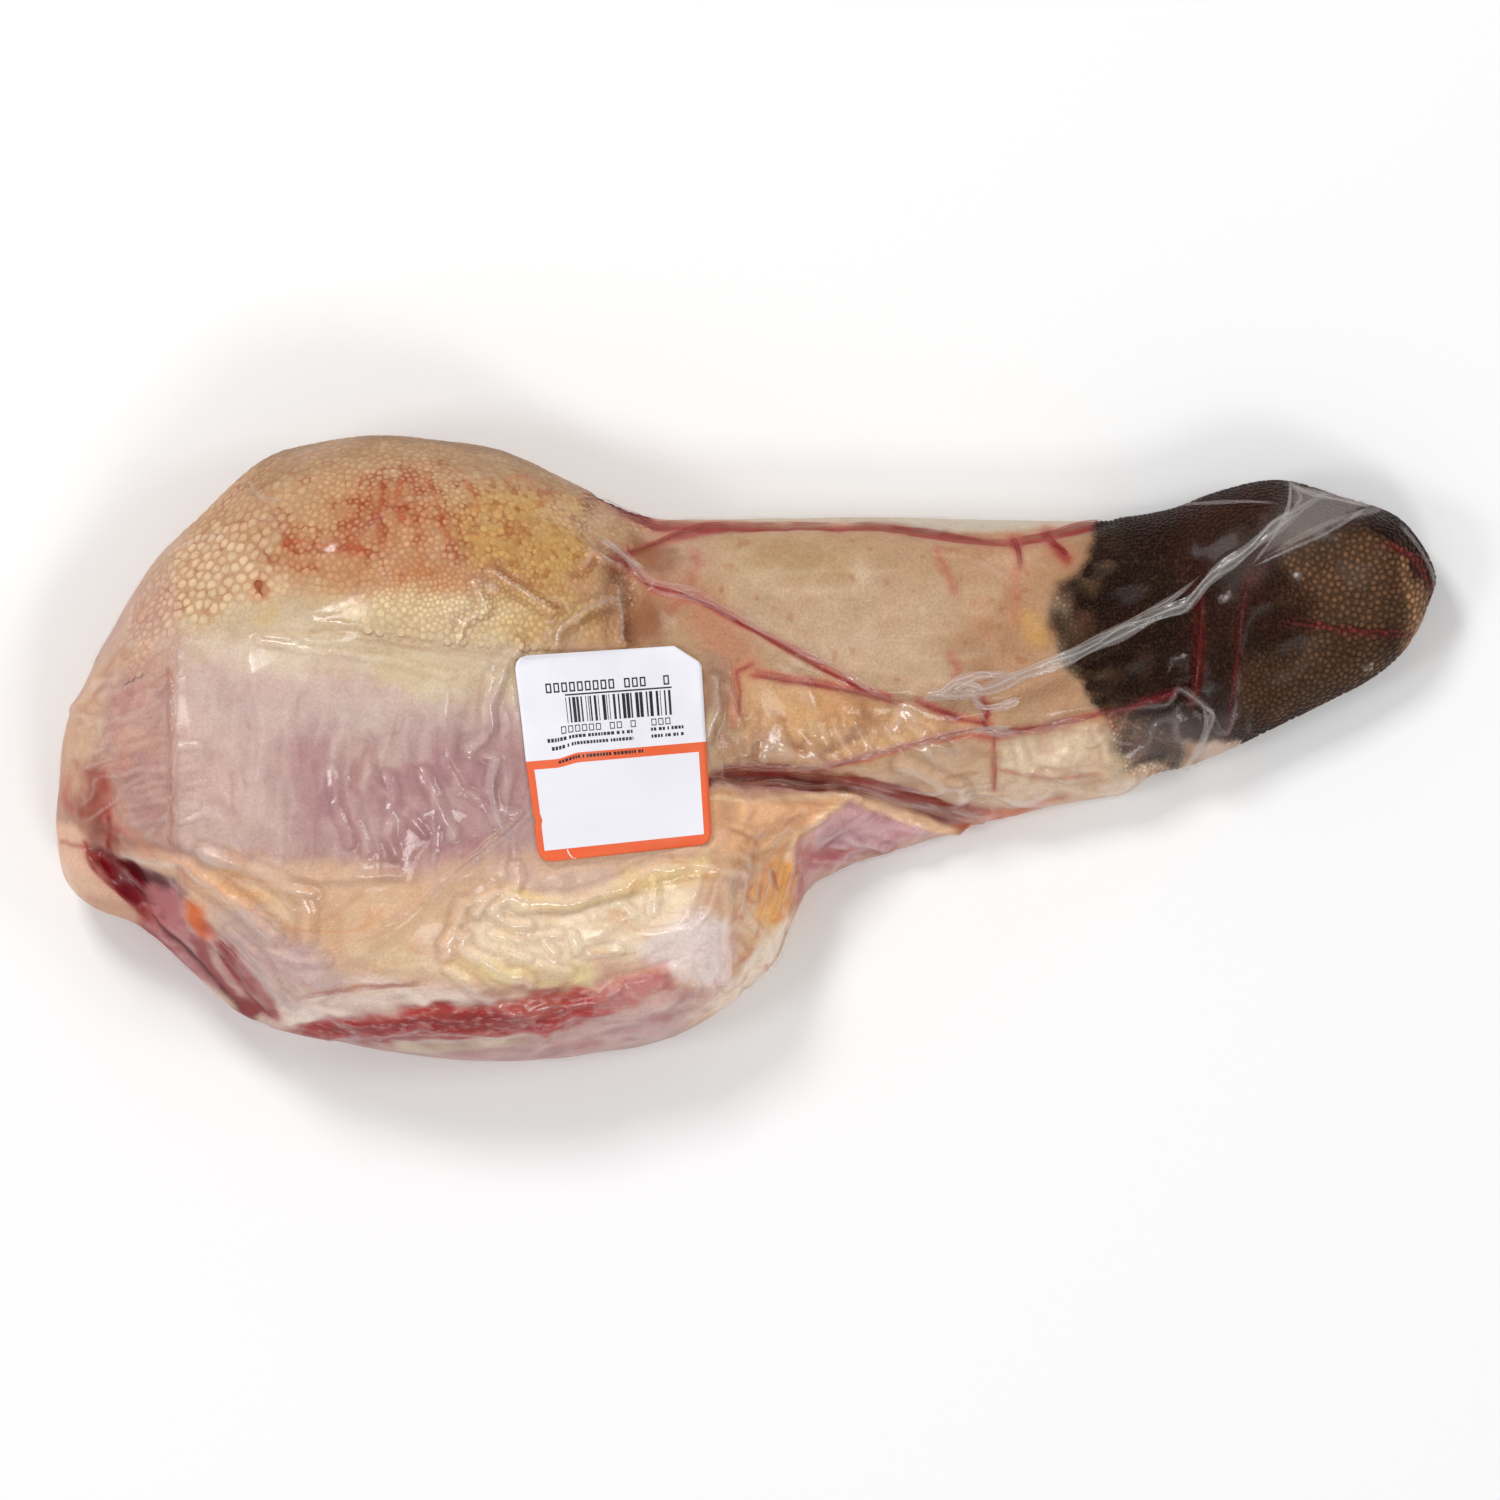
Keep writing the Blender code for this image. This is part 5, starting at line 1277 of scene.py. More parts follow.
specks = add(nodes, "ShaderNodeTexNoise", {"Vector": place, "Scale": 420.0, "Detail": 4.0,
                                           "Roughness": 0.6})
value = rescale(nodes, specks.outputs["Fac"], 0.94, 1.06, 0.3, 0.7)
grains = add(nodes, "ShaderNodeTexNoise", {"Vector": place, "Scale": 1500.0, "Detail": 3.0,
                                           "Roughness": 0.7})
grain = rescale(nodes, grains.outputs["Fac"], 0.88, 1.12, 0.3, 0.7)
tone = times(nodes, value, grain)
speckled = add(nodes, "ShaderNodeHueSaturation", {"Value": tone, "Color": painted}).outputs["Color"]

stretched = add(nodes, "ShaderNodeMapping", {"Vector": place, "Scale": (380.0, 800.0, 600.0),
                                             "Rotation": (0.0, 0.0, 0.12)}).outputs["Vector"]
fibres = add(nodes, "ShaderNodeTexNoise", {"Vector": stretched, "Scale": 1.0, "Detail": 5.0})
white = rescale(nodes, fibres.outputs["Fac"], 0.0, 0.45, 0.5, 0.7)
fat_share = times(nodes, white, mask["Green"])
marbled = add(nodes, "ShaderNodeMix", {"Factor": fat_share, "A": speckled, "B": (0.70, 0.46, 0.42, 1.0)},
              data_type="RGBA").outputs["Result"]

# Painted shade: the colour darkens towards the edges of small cells, in the grooves between the papillae.
# The same cells lower the bump there.
cells = add(nodes, "ShaderNodeTexVoronoi", {"Vector": place, "Scale": 1250.0, "Randomness": 0.8})
groove = rescale(nodes, cells.outputs["Distance"], 0.0, 1.0, 0.35, 0.75)
groove_here = times(nodes, groove, times(nodes, mask["Red"], 0.13))
groove_shaded = add(nodes, "ShaderNodeMix", {"Factor": groove_here, "A": marbled, "B": (0.30, 0.15, 0.08, 1.0)},
              data_type="RGBA").outputs["Result"]

bumps = times(nodes, times(nodes, groove, mask["Red"]), -0.5)
height = times(nodes, bumps, times(nodes, specks.outputs["Fac"], 0.5), "ADD")
bump = add(nodes, "ShaderNodeBump", {"Height": height, "Strength": 0.5, "Distance": 0.0003})
rough = rescale(nodes, specks.outputs["Fac"], 0.38, 0.58, 0.3, 0.7)
body = add(nodes, "ShaderNodeBsdfPrincipled", {"Base Color": groove_shaded, "Roughness": rough,
                                               "Specular IOR Level": 0.05,
                                               "Normal": bump.outputs["Normal"]})
add(nodes, "ShaderNodeOutputMaterial", {"Surface": body.outputs["BSDF"]})
print("meat material:", len(nodes.nodes), "nodes")

# %% [markdown]
# ## Where they sit
#
# The table says how wide the pebbles are in each place and how clearly they stand out. Towards
# the edge of the hump they fade into smooth skin. The papillae grow a little towards the end of
# the tip.

# %% Scatter the pebbles and the papillae
PEBBLES = [
    # width mm, how clearly they show from 0 to 1, outline
    (2.2, 0.75, [(-137, 20.5), (-137, 36.5), (-128, 52.5), (-112, 59.5), (-102.5, 52.5), (-105, 41),
     (-114, 34.5), (-125.5, 25)]),
    (1.75, 0.35, [(-128, 57.5), (-112, 71), (-96, 75.5), (-75, 75.5), (-73, 69), (-93.5, 62),
     (-107.5, 52.5), (-116.5, 52.5)]),
    (1.25, 0.6, [(-96, 62), (-75, 69), (-63.5, 62), (-61.5, 43.5), (-75, 39), (-96, 41), (-105, 48)]),
    (1.0, 0.6, [(-86.5, 40), (-73, 43.5), (-52, 43.5), (-33.5, 41), (-36, 29.5), (-52, 25), (-70.5, 28.5),
     (-84.5, 34.5)]),
    (1.3, 0.1, [(-68, 71), (-47.5, 69), (-29, 55), (-29, 41), (-43, 42.5), (-63.5, 46)]),
    (1.3, 0.25, [(-43, 43.5), (-24.5, 48), (-24.5, 23), (-43, 23)]),
    (1.6, 0.45, [(-151, 11.5), (-146.5, 29.5), (-135, 43.5), (-135, 25), (-137, 11.5), (-146.5, -2.5)]),
    (1.7, 0.0, [(-117.5, 32), (-107.5, 36.5), (-91, 36), (-84.5, 29.5), (-70.5, 23), (-70.5, 11.5),
     (-125.5, 11.5), (-128, 23)]),
]
pebble_width = np.full(len(skin.at), 1.5)
pebble_bold = np.full(len(skin.at), 0.45)
for width, bold, outline in PEBBLES:
    share = skin.cover(outline, 5.0, 2.0)
    pebble_width += (width - pebble_width) * share
    pebble_bold += (bold - pebble_bold) * share
pebble_width *= 1 + 0.15 * noise(skin.at, 6.0, 1.0)
pebble_bold *= ease(2 * skin.cover(HUMP, 7.0, 3.0) - 1)

hump_spots = np.flatnonzero((hump > 0.5) & (skin.out[:, 2] > -0.3) & (pebble_bold > 0.06))
kept = scattered(hump_spots, pebble_width[hump_spots])
hump_spots = hump_spots[kept]
HUMP_LIFT = 0.17                      # height of a pebble, as a part of its width
hump_gaps, hump_bold = pebble_width[hump_spots], pebble_bold[hump_spots]
hump_heights = HUMP_LIFT * hump_gaps * (0.25 + 0.75 * hump_bold)
pebble_points, pebble_faces = domes(skin.at[hump_spots], skin.out[hump_spots], hump_gaps,
                                    hump_heights, 8, 0.93 - 0.1 * skin.blood[hump_spots])

tip_spots = np.flatnonzero(tip > 0.85)
coarse = 0.96 + 0.31 * ease((skin.at[tip_spots, 0] - 105) / 35)
kept = scattered(tip_spots, coarse)
tip_spots, tip_gaps = tip_spots[kept], coarse[kept]
TIP_LIFT = 0.24
tip_heights = TIP_LIFT * tip_gaps
papilla_points, papilla_faces = domes(skin.at[tip_spots], skin.out[tip_spots], tip_gaps,
                                      tip_heights, 6, np.full(len(tip_spots), 0.94))
print(len(hump_spots), "pebbles and", len(tip_spots), "papillae")

# %% [markdown]
# A pebble takes the paint of the skin that it sits on. Its top gets a painted highlight and its
# rim painted shade, and each one differs a little from the next. The skin between the pebbles is
# then darkened with painted shade, so that the gaps read as grooves.

# %% Colour the pebbles and the papillae
def dome_colours(spots, points, top, middle, rim, spread, bold):
    """Colours for the points of each dome, from the skin's paint, with a painted highlight and shade."""
    own = skin.colour[spots] * (1 + spread * (draw.random(len(spots)) - 0.5))[:, None]
    colours = np.repeat(own[:, None], points.shape[1], axis=1)
    ring = (points.shape[1] - 1) // 2
    bold = bold[:, None, None]
    colours[:, :1] *= 1 + (top - 1) * bold
    colours[:, 1:1 + ring] *= 1 + (middle - 1) * bold
    colours[:, 1 + ring:] *= 1 + (rim - 1) * bold
    return np.clip(colours, 0, 0.9)


BLOOD, GROOVE_SHADE, TIP_GROOVE_SHADE = (148, 42, 22), (176, 118, 78), (30, 20, 14)
# Each pebble gets a painted highlight on its top and middle ring and painted shade at its rim.
pebble_colours = dome_colours(hump_spots, pebble_points, np.array((1.22, 1.24, 1.27)),
                              np.array((1.12, 1.11, 1.1)), np.array((0.9, 0.8, 0.66)), 0.18, hump_bold)
red = skin.blood[hump_spots][:, None] * np.repeat((0.12, 0.3, 0.75), (1, 8, 8))[None]
pebble_colours += (light(BLOOD) - pebble_colours) * red[:, :, None]
# Each papilla gets a strong painted highlight on its top and painted shade at its rim, more so towards the
# end of the tip.
tip_bold = 0.5 + 0.5 * ease((skin.at[tip_spots, 0] - 104) / 22)
papilla_colours = dome_colours(tip_spots, papilla_points, np.array((2.0, 1.9, 1.8)),
                               np.array((1.45, 1.4, 1.35)), np.array((0.55, 0.5, 0.46)), 0.5, tip_bold)
# Painted shade in the grooves between the pebbles.
lay(0.5 * hump * pebble_bold, GROOVE_SHADE)
lay(0.8 * skin.blood, BLOOD)
# Painted shade between the papillae near the end of the tip.
lay(0.35 * tip * ease((skin.at[:, 0] - 100) / 20), TIP_GROOVE_SHADE)
print("blood on", int((skin.blood[hump_spots] > 0.3).sum()), "pebbles")

# %% [markdown]
# Pebbles and papillae share one material. It is glossier than the meat, because each small dome
# presses against the film.

# %% Pebble material
pebbly, nodes = new_material("pebbles")
place = add(nodes, "ShaderNodeTexCoord").outputs["Object"]
painted = add(nodes, "ShaderNodeAttribute", attribute_name="paint").outputs["Color"]
specks = add(nodes, "ShaderNodeTexNoise", {"Vector": place, "Scale": 900.0, "Detail": 3.0})
value = rescale(nodes, specks.outputs["Fac"], 0.9, 1.1, 0.3, 0.7)
speckled = add(nodes, "ShaderNodeHueSaturation", {"Value": value, "Color": painted}).outputs["Color"]
rough = rescale(nodes, specks.outputs["Fac"], 0.3, 0.5, 0.3, 0.7)
bump = add(nodes, "ShaderNodeBump", {"Height": specks.outputs["Fac"], "Strength": 0.25, "Distance": 0.0001})
body = add(nodes, "ShaderNodeBsdfPrincipled", {"Base Color": speckled, "Roughness": rough,
                                               "Specular IOR Level": 0.1,
                                               "Normal": bump.outputs["Normal"]})
add(nodes, "ShaderNodeOutputMaterial", {"Surface": body.outputs["BSDF"]})

piece("hump_pebbles", pebble_points.reshape(-1, 3), pebble_faces, pebbly,
      {"paint": pebble_colours.reshape(-1, 3)})
piece("tip_papillae", papilla_points.reshape(-1, 3), papilla_faces, pebbly,
      {"paint": papilla_colours.reshape(-1, 3)})

# %% [markdown]
# ## The meat itself
#
# The skin's net is now a finished surface. One mesh of this size is slow to handle, so it is cut
# into four pieces across its length, from the root to the tip. Their edges share the same points,
# and each piece keeps the outward directions of the whole, so that no seam shows in the light.

# %% Make the meat
CUTS = (-92.0, -32.0, 60.0)           # mm along X
skin_final = outward(skin.at, skin_squares)
middle = skin.at[skin_squares].mean(axis=1)[:, 0]
part = np.digitize(middle, CUTS)
for n, name in enumerate(("meat_root", "meat_middle", "meat_blade", "meat_tip")):
    squares = skin_squares[part == n]
    used, squares = np.unique(squares, return_inverse=True)
    squares = squares.reshape(-1, 4)
    piece(name, skin.at[used], squares, meat, {"paint": skin.colour[used], "masks": skin.masks[used]},
          normals=skin_final[used])

# %% [markdown]
# ## The film
#
# The film is a clear skin a little above the meat. It bridges the furrows, so its relief is
# shallower there, and it has the full height of its own wrinkles.

# %% Lift the film
film_wrinkles, milk, creased, _ = wrinkled(film)
film_folds, film_crest, _ = folded(film)
film_lift = relief(film, 0.6) + np.maximum(film_wrinkles, film_folds)
# Milk along the fold crests is a painted highlight, a pale line where the film glints.
milk = np.maximum(milk, 0.26 * film_crest ** 2)
creased = np.maximum(creased, 0.9 * film_crest)
print("film lifted by", round(film_lift.min(), 2), "to", round(film_lift.max(), 2), "mm")

# %% [markdown]
# Where the film isn't quite against the meat, it looks like thin milk. These patches are washes
# too, but they add milk and not paint.

# %% Milky patches
HAZE = [
    # milk, soft mm, outline
    (0.22, 1.2, [(125.5, 61.5), (134, 59), (144, 56), (134, 50.5), (125, 46), (117, 43), (121.5, 49),
     (125, 54.5)]),
    (0.08, 10.0, [(-129, 23), (-102.5, 21.5), (-75, 11.5), (-56.5, 2), (-56.5, -18.5), (-84.5, -25.5),
     (-112, -23), (-128, -11.5)]),
    (0.08, 6.0, [(110.5, 43.5), (125, 57.5), (134, 59.5), (146.5, 56), (135.5, 51.5), (120.5, 43.5),
     (111, 36.5)]),
    (0.10, 5.0, [(83.5, 6.5), (112.5, 10), (110, -2.5), (86, -5)]),
    (0.09, 4.0, [(-120, -38), (-100.5, -46), (-91, -54.5), (-111.5, -60), (-117.5, -51)]),
    (0.14, 4.0, [(-61.5, -28), (-43, -30), (-24.5, -28), (-29, -34.5), (-52, -33.5)]),
    # Milk here lightens the painted glint over the pale fat.
    (0.12, 4.0, [(-13, -31.5), (1, -30), (-0.5, -48.5), (-13, -54.5)]),
    (0.04, 5.0, [(-102.5, -57.5), (-24.5, -55.5), (-10.5, -57.5), (-33.5, -69), (-79.5, -71.5)]),
    (0.08, 1.0, [(-10.5, 56.5), (24, 56), (49, 54.5), (67.5, 54), (80, 53.5), (65, 51.5), (44.5, 52),
     (24, 54), (-10.5, 54.5)]),
]
for amount, soft, outline in HAZE:
    milk = np.maximum(milk, amount * film.cover(outline, soft, 2.0) * film.top)

# The film is pressed flat under the pack, and it never sinks below the table.
LOWEST = 0.05
film.at = film.at + film.out * film_lift[:, None]
film.at[:, 2] = np.maximum(film.at[:, 2], LOWEST)
film_milk = np.concatenate([np.tile(light(MILK_COLOUR), (len(milk), 1)), milk[:, None]], axis=1)
TIGHT_SHINE, CREASED_SHINE = 0.14, 1.9
DARK_SHINE = 0.4                      # part that is left over the dark tip, where it shows most
over_tip = 1 - (1 - DARK_SHINE) * film.cover(TIP, 4.0)
bright = (TIGHT_SHINE + (CREASED_SHINE - TIGHT_SHINE) * creased) * over_tip
film_shine = np.repeat(bright[:, None], 3, axis=1)
print("wrinkles up to", round(film_lift.max(), 2), "mm, milk up to", round(milk.max(), 2))

# %% [markdown]
# Clear film is hardly there: the light goes through, apart from the part that is mirrored. Glass
# would bend the light and slow the render, so the film mixes a Transparent shader with a Glossy
# one, by Fresnel, and a milky diffuse part comes in by the milk attribute. Tight film mirrors
# little and creased film much more, which the shine attribute says.

# %% Film material
FILM_CUT = -25.0                      # mm along X, where the film's mesh is cut in two
MOST_MIRRORED = 0.08                  # what tight film mirrors at a slant, at most
clear_film, nodes = new_material("clear film")
place = add(nodes, "ShaderNodeTexCoord").outputs["Object"]
milky = add(nodes, "ShaderNodeAttribute", attribute_name="milk")
shiny = add(nodes, "ShaderNodeAttribute", attribute_name="shine").outputs["Fac"]
ripples = add(nodes, "ShaderNodeTexNoise", {"Vector": place, "Scale": 260.0, "Detail": 3.0,
                                            "Distortion": 0.8}, noise_type="RIDGED_MULTIFRACTAL")
fine = add(nodes, "ShaderNodeTexNoise", {"Vector": place, "Scale": 900.0, "Detail": 2.0})
both = times(nodes, ripples.outputs["Fac"], times(nodes, fine.outputs["Fac"], 0.4), "ADD")
lifted = times(nodes, both, shiny)
bump = add(nodes, "ShaderNodeBump", {"Height": lifted, "Strength": 0.4, "Distance": 0.0003})
through = add(nodes, "ShaderNodeBsdfTransparent")
cloud = add(nodes, "ShaderNodeBsdfDiffuse", {"Color": milky.outputs["Color"]})
body = add(nodes, "ShaderNodeMixShader", {0: milky.outputs["Alpha"], 1: through.outputs[0],
                                          2: cloud.outputs[0]})
shine = add(nodes, "ShaderNodeBsdfAnisotropic", {"Color": (1.0, 1.0, 1.0, 1.0), "Roughness": 0.14,
                                                 "Normal": bump.outputs["Normal"]})
fresnel = add(nodes, "ShaderNodeFresnel", {"IOR": 1.5, "Normal": bump.outputs["Normal"]})
mirrored = times(nodes, fresnel.outputs[0], MOST_MIRRORED, "MINIMUM")
share = times(nodes, mirrored, shiny)
film_mix = add(nodes, "ShaderNodeMixShader", {0: share, 1: body.outputs[0], 2: shine.outputs[0]})
add(nodes, "ShaderNodeOutputMaterial", {"Surface": film_mix.outputs[0]})

film_final = outward(film.at, film_squares)
part = np.digitize(film.at[film_squares].mean(axis=1)[:, 0], (FILM_CUT,))
for n, name in enumerate(("film_root", "film_blade")):
    squares = film_squares[part == n]
    used, squares = np.unique(squares, return_inverse=True)
    piece(name, film.at[used], squares.reshape(-1, 4), clear_film,
          {"milk": film_milk[used], "shine": film_shine[used]}, normals=film_final[used])

# %% [markdown]
# ## Pleats
#
# When film shrinks round a lump, what is left over folds flat into pleats. They run as thin
# bright lines with a red edge, where blood was drawn into the fold. A curve with a bevel would
# give round cords, so each pleat is a narrow strip of mesh instead. It lies on the film, found
# by a ray from above, and its section has three crests that wander along it.

# %% Pleat tools
film_tree = BVHTree.FromPolygons(film.at.tolist(), film_squares.tolist())


def surface_height(x, y):
    """Height of the film in mm at a place, or None beside it."""
    hit = film_tree.ray_cast(Vector((x, y, 200.0)), Vector((0, 0, -1)))
    return None if hit[0] is None else hit[0].z


def smooth_path(points, step):
    """A smooth curve through points, with a point every step mm."""
    points = np.array(points, float)
    ends = np.vstack([2 * points[0] - points[1], points, 2 * points[-1] - points[-2]])
    out = []
    for a, b, c, d in zip(ends[:-3], ends[1:-2], ends[2:-1], ends[3:]):
        count = max(int(np.linalg.norm(c - b) / step), 1)
        for t in np.arange(count) / count:
            out.append(0.5 * (2 * b + (c - a) * t + (2 * a - 5 * b + 4 * c - d) * t * t
                              + (3 * b - a - 3 * c + d) * t ** 3))
    out.append(points[-1])
    return np.array(out)


PLEAT_STEP = 0.7                      # mm along a pleat
ACROSS = np.linspace(-1, 1, 11)       # places across it, from edge to edge
EDGE_BLOOD = (150, 40, 44)
pleat_points, pleat_faces, pleat_milk, pleat_shine = [], [], [], []


def pleat(width, rise, milky, path, blood=0.0, twist=0.0, tint=MILK_COLOUR, even=0.35,
          shine=0.35, patchy=0.0):
    """A folded strip of film, its width and rise in mm.

    blood reddens one edge: the left one if above 0, else the right one. even is the part of the
    milk that doesn't keep to the crests, and patchy is the part that comes and goes along it.
    """
    line = smooth_path(path, PLEAT_STEP)
    forward = np.gradient(line, axis=0)
    forward /= np.linalg.norm(forward, axis=1, keepdims=True)
    sideways = np.stack([-forward[:, 1], forward[:, 0]], axis=1)
    run = np.linspace(0, 1, len(line))
    taper = ease(run / 0.12) * ease((1 - run) / 0.12)
    first = sum(len(p) for p in pleat_points)
    length = len(line) * PLEAT_STEP
    gaps = ease(0.55 + 0.9 * noise(np.insert(line, 2, 0, axis=1), 4.0, 0.37 * first % 40))
    rows, milks = [], []
    for n, (spot, side) in enumerate(zip(line, sideways)):
        sway = 0.35 * math.sin(twist * run[n] * length + first) if twist else 0.12 * math.sin(0.9 * n)
        narrow = (0.35 + 0.65 * taper[n]) * (1 + 0.2 * math.sin(0.31 * n + first))
        crests = (np.exp(-((ACROSS - 0.35 - sway) / 0.16) ** 2)
                  + 0.7 * np.exp(-((ACROSS + 0.5 - sway) / 0.16) ** 2)
                  + 0.45 * np.exp(-((ACROSS + 0.08 + sway) / 0.12) ** 2))
        row, beside = [], []
        for across, crest in zip(ACROSS, crests):
            x, y = spot + side * across * narrow * width / 2
            z = surface_height(x, y)
            beside.append(z is None)
            if z is None:
                z = row[-1][2] if row else (rows[-1][0][2] if rows else 10.0)
            lift = 0.05 + rise * crest * taper[n] - (0.25 if abs(across) == 1 else 0)
            row.append((x, y, z + lift))
        rows.append(row)
        edge = np.clip(ACROSS * np.sign(blood), 0, 1) ** 1.5 * abs(blood)
        shade = light(tint) + (light(EDGE_BLOOD) - light(tint)) * edge[:, None]
        alpha = np.clip(milky * (even + (1 - even) * crests) + edge * 0.7, 0, 0.95) * taper[n]
        alpha[[0, -1]] *= 0.3
        alpha *= 1 - patchy + patchy * gaps[n]
        alpha[beside] = 0
        milks.append(np.concatenate([shade, alpha[:, None]], axis=1))
    width_count = len(ACROSS)
    for n in range(len(rows) - 1):
        for k in range(width_count - 1):
            a = first + n * width_count + k
            pleat_faces.append((a, a + 1, a + width_count + 1, a + width_count))
    pleat_points.append(np.array(rows).reshape(-1, 3))
    pleat_milk.append(np.concatenate(milks))
    pleat_shine.append(np.full((len(rows) * width_count, 3), shine))


print("the film is", round(surface_height(-90.0, -10.0), 1), "mm high over the flank")

# %% [markdown]
# Each call says how wide and how high a pleat is, how milky it is, and where it runs. The long
# ones come first, and the short ones lie over them.

# %% Lay the pleats
UPRIGHT = [(-132, 45.5), (-131, 34.5), (-131, 15), (-131, -5), (-131, -19.5), (-129.5, -30.5), (-130, -40)]
FLANK = [(-49.5, -12), (-55, -18), (-68, -28.5), (-76, -36), (-84.5, -41.5), (-103.5, -50)]
NECK = [(-33.5, 49), (-28, 45), (-23, 39), (-13.5, 36.5), (-5.5, 32.5), (4.5, 27), (15, 21.5), (20.5, 19),
    (31.5, 12), (36.5, 10)]
BELLY = [(-8.5, -4), (0, -4), (10, -4.5), (20.5, -3), (31.5, 0), (39.5, 1.5), (51.5, 4.5), (61, 3.5),
    (72, 5.5), (82.5, 8.5)]
TWISTED = [(41, 11.5), (54, 13.5), (61, 16), (68.5, 18.5), (74, 21), (85, 26), (96, 31.5), (101.5, 33.5),
    (107.5, 40), (116, 46.5), (125, 53.5), (134, 59.5)]

pleat(2.6, 0.45, 0.34, UPRIGHT, tint=(222, 176, 160))
pleat(2.0, 0.5, 0.34, FLANK, tint=(232, 196, 168))
pleat(1.1, 0.35, 0.22, [(-48, -13), (-54, -19), (-66.5, -29), (-74, -35.5)])
pleat(2, 0.56, 0.23, [(-57.5, -0.5), (-58.5, -8.5), (-57, -16), (-56, -20)])
pleat(1.3, 0.35, 0.17, [(-55.5, -2.5), (-54.5, -9.5), (-55, -16.5), (-52, -23)])
pleat(2.0, 0.42, 0.34, NECK, blood=-0.75, tint=(228, 178, 166), shine=0.8)
pleat(1.3, 0.28, 0.11, [(-1, 20), (4.5, 17), (15, 15.5), (20.5, 14), (31.5, 11.5)], blood=0.8,
    tint=(220, 160, 140))
pleat(1.5, 0.28, 0.12, [(-4.5, 21.5), (-3.5, 15.5), (-2.5, 8.5), (-4.5, 5)], blood=0.45,
    tint=(224, 176, 150))
pleat(2.0, 0.42, 0.34, BELLY, blood=-0.55, tint=(226, 176, 160), shine=0.8)
pleat(1.4, 0.35, 0.41, [(51.5, 4), (56.5, 5), (61, 5)])
pleat(1.2, 0.35, 0.22, [(12.5, -5.5), (24, -2.5), (40, 2), (52.5, 5), (65, 3)], tint=(232, 190, 176))
pleat(3.0, 0.7, 0.5, TWISTED, twist=0.3, even=0.35, shine=0.8, tint=(214, 206, 202))
pleat(1.4, 0.35, 0.39, [(54, 15), (67.5, 19.5), (83.5, 27), (97.5, 34.5), (104.5, 40)], twist=0.5)
pleat(1.4, 0.35, 0.28, [(55, 13), (52.5, 11.5), (55, 6)], blood=0.7)
pleat(1.5, 0.35, 0.22, [(40, 11.5), (47, 12), (54.5, 11.5)], blood=-0.5)
pleat(1.4, 0.28, 0.12, [(57.5, 3), (57.5, -5), (56.5, -11)], tint=(226, 170, 140))
pleat(1.1, 0.28, 0.17, [(85, 7), (90.5, 5), (96.5, 2), (99, 6), (100.5, 10)], tint=(170, 130, 120))
pleat(1.1, 0.28, 0.17, [(100.5, 10), (105.5, 10.5), (108, 4), (111.5, 5)], tint=(170, 140, 130))
pleat(1.2, 0.42, 0.36, [(105, 10.5), (106, 6.5), (105, 2), (101.5, -3.5)])
pleat(0.9, 0.28, 0.25, [(83.5, 55.5), (93, 56), (101.5, 56.5), (115, 57), (122.5, 56.5)])
pleat(1.6, 0.35, 0.15, [(-49.5, 53.5), (-37.5, 50.5), (-30, 45.5), (-23, 40)], tint=(226, 190, 160))
pleat(1.5, 0.42, 0.25, [(125, 61), (134, 58.5), (146.5, 56), (134, 52), (118, 43.5)])
pleat(1.2, 0.42, 0.28, [(125.5, 61.5), (127.5, 57.5), (122.5, 51.5)])
pleat(1, 0.35, 0.3, [(150.5, 52), (154, 48), (157.5, 42.5), (159.5, 36.5)])
pleat(1.2, 0.28, 0.17, [(-115, 62.5), (-111, 57.5), (-106, 57)])
pleat(1.4, 0.35, 0.25, [(-23, 39), (-20, 36), (-10.5, 34), (-1.5, 29)], tint=(240, 214, 206))
pleat(1.2, 0.28, 0.22, [(25, -11), (35.5, -13), (44.5, -17), (51.5, -19.5)], tint=(240, 200, 160))
pleat(1.3, 0.35, 0.17, [(-8.5, -8.5), (7.5, -10.5), (25, -10.5)], tint=(236, 190, 150))
pleat(1.2, 0.28, 0.14, [(-138, -20.5), (-135, -17.5), (-132, -14.5)])
pleat(2.2, 0.5, 0.6, [(41, 12.5), (45.5, 13.5), (49, 16), (55, 17), (60.5, 17.5)], twist=0.8,
    tint=(236, 214, 208), shine=1.2)
pleat(1.8, 0.5, 0.6, [(47.5, 13.5), (51, 15), (55, 13.5)], twist=0.9, tint=(240, 222, 216), shine=1.2)
pleat(2.0, 0.5, 0.6, [(52, 11.5), (55, 9.5), (59, 10), (63, 11.5)], twist=0.8, tint=(240, 214, 208),
    shine=1.2)
pleat(1.4, 0.4, 0.5, [(-33.5, 48), (-30, 46), (-27, 43.5), (-23.5, 41.5)], twist=0.4, tint=(236, 214, 206),
    shine=1.0)
pleat(1.6, 0.4, 0.45, [(55, 4.5), (58.5, 3.5), (62, 4)], twist=0.5, tint=(236, 206, 200), shine=1.0)
pleat(1.0, 0.3, 0.35, [(82.5, 6), (85, 2), (89.5, 1)], tint=(190, 170, 160), shine=0.8)
pleat(1.2, 0.4, 0.4, [(105, 10), (107.5, 8), (106.5, 4), (104.5, -0.5), (101.5, -4)], tint=(210, 204, 200),
    shine=1.2)
pleat(0.8, 0.3, 0.35, [(107.5, 8.5), (109.5, 4.5), (111.5, 4.5), (113, 11.5)], tint=(150, 120, 110),
    shine=0.8)
pleat(1.0, 0.35, 0.5, [(125, 61.5), (129.5, 59), (136.5, 57.5), (144.5, 56)], tint=(200, 190, 186),
    shine=1.0)
pleat(1.0, 0.35, 0.5, [(125.5, 62), (124.5, 55), (120.5, 48), (116.5, 42.5)], tint=(200, 190, 186),
    shine=1.0)
